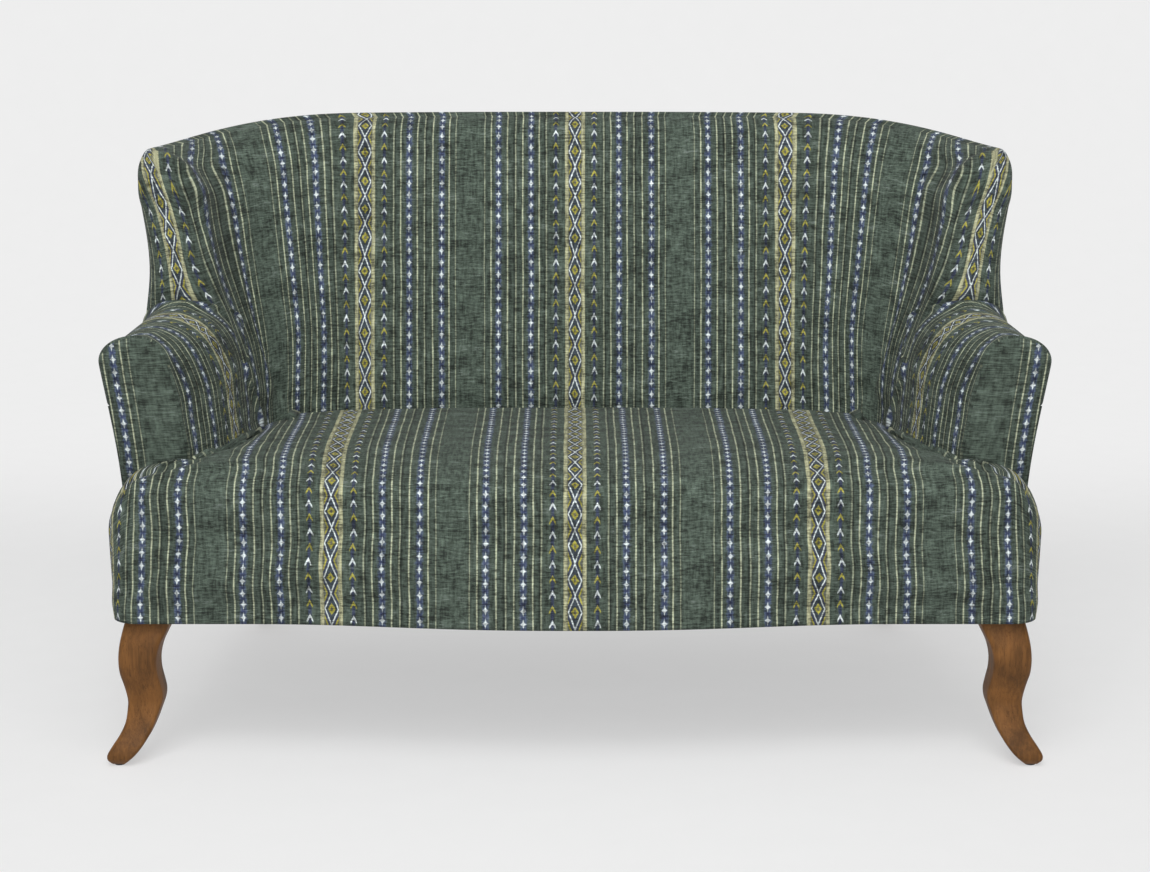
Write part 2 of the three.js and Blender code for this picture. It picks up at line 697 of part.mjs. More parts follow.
function addCornerBlocks() {
  const inside = baseSlab(RAIL_THICK + GAP, BASE_FLOOR, BASE_FLOOR + BLOCK_TALL);
  const wedge = (x, y, wayY) => plate([
    new THREE.Vector2(x, y),
    new THREE.Vector2(x - BLOCK_LEG * 2, y),
    new THREE.Vector2(x - BLOCK_LEG * 2, y + wayY * RAIL_THICK),
    new THREE.Vector2(x, y + wayY * BLOCK_LEG * 2),
  ], BASE_FLOOR, BASE_FLOOR + BLOCK_TALL);
  const front = wedge(BASE_SIDE, FRONT_JOINT, 1);
  addPair('front_corner_block', 'beech', front.intersect(inside).subtract(legHole(legBolts.front)));
  const { x, y } = legBolts.rear;
  const reach = BLOCK_LEG;
  const rear = plate([
    new THREE.Vector2(x - reach, y + reach),
    new THREE.Vector2(x + reach, y + reach),
    new THREE.Vector2(x + reach, y - reach),
    new THREE.Vector2(x + reach / 3, y - reach),
    new THREE.Vector2(x - reach, y + reach / 3),
  ], BASE_FLOOR, BASE_FLOOR + BLOCK_TALL);
  addPair('rear_corner_block', 'beech', rear.intersect(inside).subtract(legHole(legBolts.rear)));
}

// The serpentine springs run from the front rail to the rear rail in a low arch.
const SPRING_COUNT = 6;
const SPRING_BEND_COUNT = 10;
const SPRING_SPREAD_SHARE = 0.68;
const BEND_STEPS = 4;
const WIRE_SIDES = 4;
const SPRING_FLOOR = RAIL_TOP + GAP + SPRING_WIRE_RADIUS;
const CANVAS_FLOOR = SPRING_FLOOR + SPRING_ARCH + SPRING_WIRE_RADIUS + GAP;
const PAD_FLOOR = CANVAS_FLOOR + CANVAS_THICK + GAP;

class Serpentine extends THREE.Curve {
  constructor(x, start, end) {
    super();
    Object.assign(this, { x, start, end });
  }

  getPoint(share, target = new THREE.Vector3()) {
    const phase = share * SPRING_BEND_COUNT * Math.PI;
    const swell = Math.min(share, 1 - share) * SPRING_BEND_COUNT;
    const curl = (this.end - this.start) / SPRING_BEND_COUNT / 5;
    return target.set(
      this.x + SPRING_SWAY * Math.sin(phase) * Math.min(swell, 1),
      blend(this.start, this.end, share) - curl * Math.sin(2 * phase) * Math.min(swell, 1),
      SPRING_FLOOR + SPRING_ARCH * Math.sin(Math.PI * share),
    );
  }
}

function addSprings() {
  const corners = [];
  for (let side = 0; side < WIRE_SIDES; side++) {
    const turn = side * Math.PI * 2 / WIRE_SIDES;
    corners.push(new THREE.Vector2(SPRING_WIRE_RADIUS * Math.cos(turn), SPRING_WIRE_RADIUS * Math.sin(turn)));
  }
  const section = new THREE.Shape(corners);
  for (let i = 0; i < SPRING_COUNT; i++) {
    const x = SPRING_SPREAD_SHARE * HALF * (2 * i / (SPRING_COUNT - 1) - 1);
    const geometry = new THREE.ExtrudeGeometry(section, {
      steps: SPRING_BEND_COUNT * BEND_STEPS,
      bevelEnabled: false,
      extrudePath: new Serpentine(x, railFront(x) + RAIL_THICK / 2, railRear(x, RAIL_THICK / 2)),
    });
    addPiece(`seat_spring_${i + 1}`, 'steel', solidOf(geometry));
  }
}

// The frame above the rails stands in the hollows of the arms and the back.
const WING_POST_SHARE = 0.075;
const WING_POST_FRONT = WING_POST_SHARE * DEPTH;
const WING_POST_TOP = HEIGHT - SHOULDER_DROP - ROLL_INNER;
const STUMP_DEEP = 60;
const ARM_RAIL_TALL = 26;
const BACK_POST_INDEX = 4;
const POST_SLACK = 4;
const POST_LEVEL_SHARES = [0, 0.22, 0.45, 0.7, 1];

const frameHollows = hollowSections(BACK_PAD, OUTER_LAYER);
const WALL_COUNT = INNER_TOP_INDEX + 1;

// Where a wall of the hollow stands at one height.
function wallAt(wall, z) {
  const rising = wall[0].z < wall.at(-1).z ? wall : wall.toReversed();
  const above = rising.findIndex((point) => point.z > z);
  if (above < 0) return rising.at(-1).clone().setZ(z);
  if (above === 0) return rising[0].clone().setZ(z);
  const low = rising[above - 1];
  const high = rising[above];
  return low.clone().lerp(high, (z - low.z) / (high.z - low.z));
}

function hollowTop(section) {
  return Math.min(section[WALL_COUNT - 1].z, section[WALL_COUNT].z) - GAP;
}

const midway = (inner, outer) => inner.clone().lerp(outer, 0.5);

function besideOuterWall(inner, outer) {
  const step = inner.clone().sub(outer).setZ(0).setLength(GAP + POST_SLACK + RAIL_THICK / 2);
  return outer.clone().add(step);
}

// A curved rail that follows the hollow of the back, with its top a distance below the hollow's.
function curvedRail(first, place, drop, grown, rise, spread) {
  const sections = frameHollows.slice(first).map((section, station) => {
    const top = hollowTop(section) - drop;
    const inner = wallAt(section.slice(0, WALL_COUNT), top);
    const outer = wallAt(section.slice(WALL_COUNT), top);
    const across = outer.clone().sub(inner).setZ(0).setLength(RAIL_THICK / 2 + spread);
    const middle = place(inner, outer);
    if (first === 0 && station === 0) middle.y += GAP * 2 - grown;
    const corner = (side, z) => middle.clone().addScaledVector(across, side).setZ(z);
    const high = top + rise;
    const low = top - TOP_RAIL_TALL - grown;
    return [corner(-1, low), corner(-1, high), corner(1, high), corner(1, low)];
  });
  return loft(sections);
}

const topRail = () => curvedRail(0, midway, 0, 0, 0, 0);
const overTopRail = () => curvedRail(0, midway, 0, GAP, HEIGHT, POST_DEEP)
  .add(curvedRail(0, midway, 0, GAP, 0, GAP));

function backPost(grown) {
  const section = frameHollows[BACK_POST_INDEX];
  const outerWall = section.slice(WALL_COUNT);
  const before = frameHollows[BACK_POST_INDEX - 1].slice(WALL_COUNT);
  const after = frameHollows[BACK_POST_INDEX + 1].slice(WALL_COUNT);
  const high = hollowTop(section);
  const low = RAIL_TOP + GAP;
  const rings = POST_LEVEL_SHARES.map((share) => {
    const z = blend(low, high, share);
    const outer = wallAt(outerWall, z);
    const along = wallAt(after, z).sub(wallAt(before, z)).setZ(0).normalize();
    const across = new THREE.Vector3(-along.y, along.x, 0);
    const middle = outer.addScaledVector(across, GAP + POST_SLACK + RAIL_THICK / 2);
    const corner = (a, b) => middle.clone()
      .addScaledVector(across, a * (RAIL_THICK / 2 + grown))
      .addScaledVector(along, b * (POST_DEEP / 2 + grown));
    return [corner(-1, -1), corner(1, -1), corner(1, 1), corner(-1, 1)];
  });
  return loft(rings);
}

function wingPost(grown) {
  return box(
    BASE_SIDE - RAIL_THICK - grown, BASE_SIDE + grown,
    WING_POST_FRONT - grown, WING_POST_FRONT + POST_DEEP + grown,
    RAIL_TOP + GAP, WING_POST_TOP,
  );
}

function armRail(grown, rise, spread) {
  const sections = armGrid.map((section) => {
    const right = section.at(-ARM_SIDE_COUNT).x - OUTER_LAYER - GAP;
    const top = section[ARM_INSIDE_TOP_INDEX].z - GAP * 2;
    const y = section[0].y;
    const corner = (x, z) => new THREE.Vector3(x, y, z);
    const low = top - ARM_RAIL_TALL - grown;
    const left = BASE_SIDE - RAIL_THICK;
    return [
      corner(left - spread, low), corner(left - spread, top + rise),
      corner(right + spread, top + rise), corner(right + spread, low),
    ];
  });
  const front = sections[0].map((point) => point.clone().setY(point.y + GAP - grown * 2));
  const rear = sections.at(-1).map((point) => point.clone().setY(WING_POST_FRONT - GAP));
  return loft([front, ...sections.slice(1), rear]);
}

function armStump(grown) {
  const y = ARM_FRONT + FACING_THICK + GAP * 2;
  return box(
    BASE_SIDE - RAIL_THICK - grown, BASE_SIDE + grown,
    y - grown, y + STUMP_DEEP + grown,
    RAIL_TOP + GAP, ARM_HEIGHT_FRONT,
  );
}

function addUpperFrame() {
  const inBack = backHollow(GAP);
  const inArm = armHollow(GAP);
  addPiece('back_top_rail', 'beech', whole(topRail().intersect(inBack)));
  const clearOfTopRail = (post) => mainBody(post.intersect(inBack).subtract(overTopRail()));
  addPair('back_post', 'beech', clearOfTopRail(backPost(0)));
  addPair('wing_post', 'beech', clearOfTopRail(wingPost(0)));
  addPair('arm_rail', 'beech', armRail(0, 0, 0).intersect(inArm));
  const overArmRail = armRail(GAP, HEIGHT, STUMP_DEEP);
  addPair('arm_stump', 'beech', armStump(0).intersect(inArm).subtract(overArmRail));
  const drop = HEIGHT - SEAT_HEIGHT - TOP_RAIL_TALL;
  const lower = curvedRail(BACK_POST_INDEX, besideOuterWall, drop, 0, 0, 0).intersect(inBack);
  const between = lower.subtract(backPost(GAP)).decompose()
    .filter((body) => body.boundingBox().min[0] <= 0);
  addPiece('back_lower_rail', 'beech', whole(between[0]));
}

// The upholstery: lining, pads and covers, each cut clear of its neighbours.
const SEAM_DROP = 26;
const FAR = 90;

function outsideOfBack(grown) {
  const floor = COVER_BOTTOM - OVERRUN;
  const sections = backRight.map((section) => {
    const base = section.at(-1);
    const tuck = section[0];
    const outer = section[OUTER_TOP_INDEX];
    const out = base.clone().sub(tuck).setZ(0).setLength(FAR);
    const seam = outer.z - SEAM_DROP + grown;
    return [
      tuck.clone().lerp(base, 0.5).setZ(floor),
      section[INNER_TOP_INDEX].clone().lerp(outer, 0.5).setZ(seam),
      outer.clone().add(out).setZ(seam),
      base.clone().add(out).setZ(floor),
    ];
  });
  const start = sections[0].map((point) => point.clone().setY(point.y - grown));
  return loft([start, ...sections.slice(1)]);
}

function liningSection(section) {
  const near = hollowSection(section, BACK_PAD + GAP, 0).slice(0, WALL_COUNT);
  const far = hollowSection(section, BACK_PAD + GAP + CANVAS_THICK, 0).slice(0, WALL_COUNT);
  return [...near, ...far.toReversed()];
}

function addBack() {
  const aboveCanvas = box(-WIDTH, WIDTH, -DEPTH, DEPTH, PAD_FLOOR, HEIGHT + OVERRUN);
  const rails = baseSlab(-GAP, COVER_BOTTOM - OVERRUN, PAD_FLOOR);
  const armSpace = armHollow(0);
  const pad = backForm(CLOTH_THICK + GAP).subtract(backHollow(0)).subtract(armSpace);
  addPiece('back_pad', 'foam', whole(mainBody(pad.intersect(aboveCanvas))));
  const shell = backForm(0).subtract(backCutter(CLOTH_THICK)).subtract(armSpace).subtract(rails);
  addPiece('back_cover', 'cloth', whole(mainBody(shell.subtract(outsideOfBack(GAP)))));
  addPiece('outer_back_cover', 'cloth', whole(mainBody(shell.intersect(outsideOfBack(0)))));
  const lining = loft(backRight.slice(HOLLOW_START_INDEX + 1).map(liningSection));
  addPiece('back_lining', 'hessian', whole(mainBody(lining.intersect(backHollow(GAP)))));
}

function addArms() {
  const back = backCutter(-GAP);
  const aboveCanvas = box(0, WIDTH, -DEPTH, DEPTH, PAD_FLOOR, HEIGHT);
  const pad = armForm(CLOTH_THICK + GAP).subtract(armHollow(0)).subtract(back);
  addPair('arm_pad', 'foam', mainBody(pad.intersect(aboveCanvas)));
  const rails = baseSlab(-GAP, COVER_BOTTOM - OVERRUN, PAD_FLOOR);
  const shell = armForm(0).subtract(armCutter(CLOTH_THICK)).subtract(back).subtract(rails);
  const middle = (ARM_TOP_SHARES.front + ARM_TOP_SHARES.rear) / 2 * HALF;
  const outside = (grown) => box(middle, WIDTH, -DEPTH, DEPTH, 0, ARM_SEAM + grown);
  addPair('arm_cover', 'cloth', mainBody(shell.subtract(outside(GAP))));
  addPair('outer_arm_cover', 'cloth', mainBody(shell.intersect(outside(0))));
  const edge = armGrid[0].map((point) => point.clone().setY(ARM_FRONT + FACING_THICK));
  const face = inset([armGrid[0], armGrid[1]], FACING_THICK / 2)[0];
  const front = face.map((point) => point.clone().setY(ARM_FRONT));
  addPair('arm_facing', 'cloth', loft([front, edge]).intersect(aboveCanvas));
}

function addSeat() {
  const arm = armCutter(-GAP);
  const floor = COVER_BOTTOM - OVERRUN;
  const side = box(ARM_INSIDE_SHARES.bottom * HALF, WIDTH, ARM_FRONT - GAP, DEPTH, floor, HEIGHT);
  const sides = arm.add(side);
  const cut = (solid) => mainBody(solid
    .subtract(whole(sides))
    .subtract(whole(backCutter(-GAP))));
  addPiece('seat_cover', 'cloth', cut(seatForm(0).subtract(seatOpening(CLOTH_THICK))));
  const base = baseSlab(-GAP, floor, PAD_FLOOR);
  const aboveLegs = box(-WIDTH, WIDTH, -DEPTH, DEPTH, LEG_HEIGHT, HEIGHT);
  addPiece('seat_pad', 'foam', cut(seatForm(CLOTH_THICK + GAP * 4).subtract(base)).intersect(aboveLegs));
  const posts = [backPost(GAP), wingPost(GAP), armStump(GAP)];
  let canvas = baseSlab(CANVAS_INSET, CANVAS_FLOOR, CANVAS_FLOOR + CANVAS_THICK);
  for (const post of posts) canvas = canvas.subtract(whole(post));
  addPiece('seat_canvas', 'hessian', canvas);
}

function addDustCover() {
  let sheet = baseSlab(GAP, LEG_TOP - DUST_SHEET_THICK, LEG_TOP);
  for (const bolt of Object.values(legBolts)) {
    const leg = loft(bolt.rings(GAP * 2));
    const tall = leg.add(leg.translate([0, 0, DUST_SHEET_THICK]));
    sheet = sheet.subtract(whole(tall));
  }
  addPiece('dust_cover', 'black', sheet);
}

addBaseRails();
addCornerBlocks();
addLegs();
addSprings();
addUpperFrame();
addBack();
addArms();
addSeat();
addDustCover();

export default settee;
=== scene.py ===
import math
from contextlib import contextmanager

import bmesh
import bpy
import numpy as np
from bpy.props import FloatProperty, FloatVectorProperty, PointerProperty
from bpy.types import Operator, Panel, PropertyGroup
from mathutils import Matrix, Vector
from mathutils.bvhtree import BVHTree


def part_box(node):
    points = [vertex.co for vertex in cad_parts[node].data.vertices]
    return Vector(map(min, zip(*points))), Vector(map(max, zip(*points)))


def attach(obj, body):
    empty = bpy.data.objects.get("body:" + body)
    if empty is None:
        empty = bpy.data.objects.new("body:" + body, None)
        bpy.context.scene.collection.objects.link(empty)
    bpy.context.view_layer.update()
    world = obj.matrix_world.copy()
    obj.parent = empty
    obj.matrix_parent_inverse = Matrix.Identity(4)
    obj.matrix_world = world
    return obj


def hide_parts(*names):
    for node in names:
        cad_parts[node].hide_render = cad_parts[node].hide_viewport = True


bl_info = {
    "name": "High back settee",
    "version": (1, 0, 0),
    "blender": (4, 5, 0),
    "location": "3D View > Sidebar > Settee",
    "description": "Upholsters and finishes the packed settee, and sets its stage",
    "category": "Object",
}

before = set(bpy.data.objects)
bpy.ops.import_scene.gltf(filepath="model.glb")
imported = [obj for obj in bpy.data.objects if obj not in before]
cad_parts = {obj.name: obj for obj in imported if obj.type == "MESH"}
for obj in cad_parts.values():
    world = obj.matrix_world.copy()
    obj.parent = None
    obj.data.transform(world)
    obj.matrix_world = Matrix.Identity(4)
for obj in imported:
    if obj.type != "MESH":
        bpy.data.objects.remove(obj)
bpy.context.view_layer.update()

# Levels of the tub back: half width, front edge and squareness of the plan curve, as shares.
TUB_LEVELS = {
    "tuck": (0.712, 0.052, 3.5),
    "seat": (0.727, 0.048, 3.5),
    "arm": (0.802, -0.036, 3.3),
    "inner_top": (0.851, 0.016, 3),
    "ridge": (0.937, 0.018, 3),
    "outer_top": (0.989, 0.018, 3),
    "waist": (0.957, -0.02, 3.3),
    "elbow": (0.969, -0.036, 3.6),
    "base": (0.941, 0, 4),
}

# The leans of the back's two faces, its roll, its thickness and how its top falls at the sides.
BACK_LEAN = math.radians(11)
REAR_LEAN = math.radians(2.6)
ROLL_INNER = 0.046
ROLL_OUTER = 0.052
BACK_THICK = 0.106
SHOULDER_DROP = 0.052
SHOULDER_BEND = 2.35

# How far the covers run on below the seat's top, and the levels on either side of the arm's.
TUCK = 0.078
ELBOW_DROP = 0.05
WAIST_RISE = 0.052

# The nose of a wing: how far it stands forward, low down and at the top, and where it grows.
NOSE_LOW = 0.008
NOSE = 0.046
NOSE_ROUND = 0.87
NOSE_STARTS = 0.044
NOSE_FULL = 0.022

# The covers: how far they reach below the base, their thickness, and room left at other pieces.
HEM = 0.003
COVER_THICK = 0.009
SHEET_THICK = 0.0028
FACING_THICK = 0.003
CLEAR = 0.0008
CLOTH_WELD = 0.00005
LEG_WELD = 0.00002
TINY = 1e-9

# The stuffing that blows the cloth up, and how far it may move a point.
STUFFING = {
    "quality": 6, "mass": 0.25, "tension_stiffness": 25, "compression_stiffness": 12,
    "shear_stiffness": 8, "bending_stiffness": 0.6, "use_pressure": True,
    "uniform_pressure_force": 3.0, "vertex_group_mass": "hold",
}
SWELL_STEPS = 16
SWELL_CAP = 0.012

# How far from a seam each cover comes free, and how slack it is laid.
BACK_SEAM, ARM_SEAM, SEAT_SEAM = 0.05, 0.035, 0.06
BACK_SLACK, ARM_SLACK, SEAT_SLACK = 0.006, 0.005, 0.006


def linear(*channels):
    """A colour of a screen, from 0 to 255, as the plain light that materials work in."""
    shares = [channel / 255 for channel in channels]
    return tuple(s / 12.92 if s <= 0.04045 else ((s + 0.055) / 1.055) ** 2.4 for s in shares)


def length_property(name, description, default):
    return FloatProperty(name=name, description=description, default=default, unit="LENGTH")


def colour_property(name, description, *channels):
    return FloatVectorProperty(name=name, description=description, subtype="COLOR",
                               default=linear(*channels))


class SetteeSizes(PropertyGroup):
    """Sizes of the covers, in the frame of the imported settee."""

    width: length_property("Width", "Over the outsides of the arms", 1.5)
    depth: length_property("Depth", "Seat front to rear feet", 0.84)
    height: length_property("Height", "Floor to the top of the back", 1.005)
    seat_height: length_property("Seat height", "Floor to the crown of the seat", 0.478)
    seat_depth: length_property("Seat depth", "Front edge of the seat to the back", 0.592)
    body_depth: length_property(
        "Body depth", "Front edge of the seat to the outside back", 0.765)
    leg_height: length_property("Leg height", "Floor to the timber base", 0.234)
    arm_front: length_property("Arm height, front", "Floor to the arm at its facing", 0.662)
    arm_rear: length_property(
        "Arm height, rear", "Floor to the arm where it meets the back", 0.694)
    arm_setback: length_property(
        "Arm setback", "Front edge of the seat to the arm facing", 0.157)
    repeat: length_property("Repeat", "Width of one repeat of the stripes", 0.379)


class SetteeColours(PropertyGroup):
    """Colours of the cloth, the timber and the stage."""

    ground: colour_property("Ground", "Ground of the stripe cloth", 73, 84, 75)
    cream: colour_property("Cream", "Thin lines of the cloth", 163, 168, 143)
    navy: colour_property("Navy", "Darkest yarn of the cloth", 48, 54, 82)
    blue: colour_property("Blue", "Blue stripes of the cloth", 74, 86, 116)
    white: colour_property("White", "Figures woven into the stripes", 206, 214, 214)
    ochre: colour_property("Ochre", "Yellow figures of the cloth", 156, 150, 62)
    khaki: colour_property("Khaki", "Borders of the diamond band", 162, 162, 130)
    walnut: colour_property("Walnut", "Stain of the legs", 134, 90, 46)
    floor: colour_property("Floor", "Floor and backdrop", 238, 238, 238)


# Smooth curves and grids

def ease(value, start, end):
    share = np.clip((np.asarray(value, float) - start) / (end - start), 0, 1)
    return share * share * (3 - 2 * share)


def mixed(first, last, share):
    return first + (last - first) * share


def through(stations, values, at):
    """A smooth curve through values at rising stations, read elsewhere, column by column."""
    gaps = np.diff(stations, axis=0)[..., None]
    slopes = np.diff(values, axis=0) / gaps
    inner = (gaps[1:] * slopes[:-1] + gaps[:-1] * slopes[1:]) / (gaps[1:] + gaps[:-1])
    tangents = np.concatenate([slopes[:1], inner, slopes[-1:]])
    read = np.zeros(at.shape + values.shape[2:])
    for k, gap in enumerate(gaps):
        t = (at - stations[k])[..., None] / gap
        curve = ((2 * t**3 - 3 * t**2 + 1) * values[k] + (t**3 - 2 * t**2 + t) * gap * tangents[k]
                 + (3 * t**2 - 2 * t**3) * values[k + 1] + (t**3 - t**2) * gap * tangents[k + 1])
        read = np.where((at >= stations[k])[..., None] | (k == 0), curve, read)
    return read


def eased_rows(grid, first, last, times):
    """Softens a grid along its columns between two rows."""
    soft = grid.copy()
    for _ in range(times):
        soft[first:last] = (soft[first - 1:last - 1] + 2 * soft[first:last]
                            + soft[first + 1:last + 1]) / 4
    return soft


def lengths(grid, axis):
    """Distance run along one axis of a grid of points."""
    steps = np.linalg.norm(np.diff(grid, axis=axis), axis=2)
    start = np.zeros_like(np.take(steps, [0], axis=axis))
    return np.concatenate([start, np.cumsum(steps, axis=axis)], axis=axis)


def both_sides(grid):
    """A right half, whose columns run out from the middle, with its mirror image."""
    mirrored = grid[:, :0:-1].copy()
    mirrored[..., 0] *= -1
    return np.concatenate([mirrored, grid], axis=1)


def evenly(line, count):
    """A line of points laid out again with even steps between them."""
    run = lengths(line[None], 1)[0]
    at = np.linspace(0, 1, count) * run[-1]
    return np.stack([np.interp(at, run, column) for column in line.T], axis=-1)


def quads_of(rows, columns, keep=None, closed=False):
    """The faces of a grid, or those that keep says. A closed grid joins up round its rows."""
    index = np.arange(rows * columns).reshape(rows, columns)
    if closed:
        index = np.concatenate([index, index[:, :1]], axis=1)
    corners = [index[:-1, :-1], index[:-1, 1:], index[1:, 1:], index[1:, :-1]]
    quads = np.stack(corners, axis=-1)
    return quads[keep] if keep is not None else quads.reshape(-1, 4)


def tree_of(grid):
    rows, columns = grid.shape[:2]
    return BVHTree.FromPolygons(grid.reshape(-1, 3).tolist(), quads_of(rows, columns).tolist())


def placed(name, data):
    """An object of the scene, which holds a mesh, a lamp or a camera."""
    piece = bpy.data.objects.new(name, data)
    bpy.context.scene.collection.objects.link(piece)
    return piece


@contextmanager
def edited(mesh):
    """A mesh opened for editing, and written back once that is done."""
    work = bmesh.new()
    work.from_mesh(mesh)
    yield work
    work.to_mesh(mesh)
    work.free()


def new_piece(name, points, faces, weave=None):
    """A mesh object from points and faces, with the place of each point in the cloth."""
    mesh = bpy.data.meshes.new(name)
    mesh.from_pydata(points.reshape(-1, 3).tolist(), [], faces)
    if weave is not None:
        run = np.concatenate([weave, np.zeros((len(weave), 1))], axis=1)
        mesh.attributes.new("weave", "FLOAT_VECTOR", "POINT").data.foreach_set(
            "vector", run.astype(np.float32).ravel())
    return placed(name, mesh)


def grid_piece(name, grid, weave, keep=None, hold=None):
    """A piece of cloth over a grid. hold says which points a seam holds still."""
    faces = quads_of(*grid.shape[:2], keep)
    used, numbered = np.unique(faces, return_inverse=True)
    piece = new_piece(name, grid.reshape(-1, 3)[used], numbered.reshape(faces.shape).tolist(),
                      weave.reshape(-1, 2)[used])
    if hold is not None:
        group = piece.vertex_groups.new(name="hold")
        for number, share in enumerate(hold.ravel()[used]):
            group.add([number], float(share), "REPLACE")
    with edited(piece.data) as work:
        bmesh.ops.remove_doubles(work, verts=work.verts, dist=CLOTH_WELD)
    return piece


def triples(items, name):
    """What each item of a mesh holds under a name, three numbers to a row."""
    flat = np.empty(len(items) * 3)
    items.foreach_get(name, flat)
    return flat.reshape(-1, 3)


def applied(piece):
    """Applies every modifier of a piece."""
    shape = piece.evaluated_get(bpy.context.evaluated_depsgraph_get())
    mesh = bpy.data.meshes.new_from_object(shape)
    old = piece.data
    piece.modifiers.clear()
    piece.data = mesh
    bpy.data.meshes.remove(old)


def swell(piece, slack):
    """Blows the cloth up a little between the seams that hold it, as stuffing does."""
    mesh = piece.data
    group = piece.vertex_groups["hold"].index
    held = np.array([next((g.weight for g in v.groups if g.group == group), 0.0)
                     for v in mesh.vertices])
    inward = triples(mesh.vertex_normals, "vector") * (slack * (1 - held))[:, None]
    low = triples(mesh.vertices, "co") - inward
    mesh.vertices.foreach_set("co", low.ravel())
    mesh.update()
    cloth = piece.modifiers.new("stuffing", "CLOTH")
    for name, value in STUFFING.items():
        setattr(cloth.settings, name, value)
    cloth.settings.effector_weights.gravity = 0
    cloth.collision_settings.use_collision = False
    cloth.point_cache.frame_start = 1
    cloth.point_cache.frame_end = SWELL_STEPS
    scene = bpy.context.scene
    for step in range(1, SWELL_STEPS + 1):
        scene.frame_set(step)
    shape = piece.evaluated_get(bpy.context.evaluated_depsgraph_get())
    moved = triples(shape.data.vertices, "co") - low
    far = np.linalg.norm(moved, axis=1, keepdims=True)
    moved *= np.minimum(1, SWELL_CAP / np.maximum(far, TINY))
    piece.modifiers.clear()
    mesh.vertices.foreach_set("co", (low + moved).ravel())
    mesh.update()
    scene.frame_set(1)


def dressed(piece, material):
    """Gives a shaped piece its finish and fixes it to the settee."""
    piece.data.materials.clear()
    piece.data.materials.append(finishes()[material])
    piece.data.shade_smooth()
    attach(piece, "root")


def finished(piece, thick, material="stripe_cloth", finer=0):
    """Gives a cloth piece its smoothness, its thickness and its finish."""
    if finer:
        piece.modifiers.new("finer", "SUBSURF").levels = finer
    skin = piece.modifiers.new("thickness", "SOLIDIFY")
    skin.thickness = thick
    skin.offset = -1
    skin.use_even_offset = False
    applied(piece)
    dressed(piece, material)


# Shader maths

def maths(operation, turned=False):
    """An operator of Wire. A turned one has the wire as its second number."""
    def method(self, other=0.0):
        first, second = (other, self) if turned else (self, other)
        return self.finish.maths(operation, first, second)
    return method


class Wire:
    """One output of a material's node, which maths can be written with."""

    def __init__(self, finish, node, output=0):
        self.finish = finish
        self.node = node
        self.socket = node.outputs[output]

    def out(self, output):
        return Wire(self.finish, self.node, output)

    __add__ = maths("ADD")
    __radd__ = maths("ADD", turned=True)
    __sub__ = maths("SUBTRACT")
    __rsub__ = maths("SUBTRACT", turned=True)
    __mul__ = maths("MULTIPLY")
    __rmul__ = maths("MULTIPLY", turned=True)
    __truediv__ = maths("DIVIDE")
    __rtruediv__ = maths("DIVIDE", turned=True)
    __mod__ = maths("FLOORED_MODULO")
    __rmod__ = maths("FLOORED_MODULO", turned=True)
    __gt__ = maths("GREATER_THAN")
    __lt__ = maths("LESS_THAN")
    __abs__ = maths("ABSOLUTE")


class Finish:
    """A material under the hand: nodes are added by type, settings and sockets."""

    def __init__(self, name):
        self.material = bpy.data.materials.new(name)
        self.material.use_nodes = True
        self.tree = self.material.node_tree
        self.tree.nodes.clear()

    def add(self, kind, settings=None, sockets=None, output=0):
        node = self.tree.nodes.new(kind)
        for name, value in (settings or {}).items():
            if name == "stops":
                self.set_stops(node.color_ramp, value)
            else:
                setattr(node, name, value)
        for name, value in (sockets or {}).items():
            if isinstance(value, Wire):
                self.tree.links.new(value.socket, node.inputs[name])
            else:
                node.inputs[name].default_value = value
        return Wire(self, node, output) if node.outputs else node

    def maths(self, operation, first, second=0.0):
        return self.add("ShaderNodeMath", {"operation": operation}, {0: first, 1: second})

    def place(self):
        """Where a point lies on its piece."""
        return self.add("ShaderNodeTexCoord", None, None, "Object")

    def parts(self, vector):
        split = self.add("ShaderNodeSeparateXYZ", None, {0: vector})
        return split, split.out("Y"), split.out("Z")

    def set_stops(self, ramp, stops):
        while len(ramp.elements) > 1:
            ramp.elements.remove(ramp.elements[-1])
        ramp.elements[0].position = stops[0][0]
        ramp.elements[0].color = (*stops[0][1], 1)
        for place, colour in stops[1:]:
            ramp.elements.new(place).color = (*colour, 1)

    def mix(self, share, first, last):
        first, last = ((*c, 1) if isinstance(c, tuple) else c for c in (first, last))
        return self.add("ShaderNodeMix", {"data_type": "RGBA"}, {0: share, 6: first, 7: last}, 2)

    def fade(self, value, start, end):
        return self.add(
            "ShaderNodeMapRange", {"interpolation_type": "SMOOTHSTEP"},
            {"Value": value, "From Min": start, "From Max": end})

    def point(self, x, y, z=0.0):
        return self.add("ShaderNodeCombineXYZ", None, {0: x, 1: y, 2: z})

    def noise(self, vector, detail=2.0, scale=1.0, rough=0.5):
        return self.add("ShaderNodeTexNoise", None, {
            "Vector": vector, "Scale": scale, "Detail": detail, "Roughness": rough})

    def scaled(self, colour, share):
        return self.add("ShaderNodeVectorMath", {"operation": "SCALE"}, {0: colour, "Scale": share})

    def surface(self, colour, rough, bump=None, depth=0.001, **constants):
        sockets = {"Base Color": colour, "Roughness": rough}
        if bump is not None:
            sockets["Normal"] = self.add(
                "ShaderNodeBump", None, {"Strength": 1.0, "Distance": depth, "Height": bump})
        sockets.update({name.replace("_", " "): value for name, value in constants.items()})
        shader = self.add("ShaderNodeBsdfPrincipled", None, sockets)
        self.add("ShaderNodeOutputMaterial", None, {"Surface": shader})
        return self.material


LINE_EDGE = 0.0021
BAND_SPLIT = 0.2385
CROSS_PITCH = 0.0206
CHEVRON_PITCH = 0.0232
DIAMOND_PITCH = 0.0527


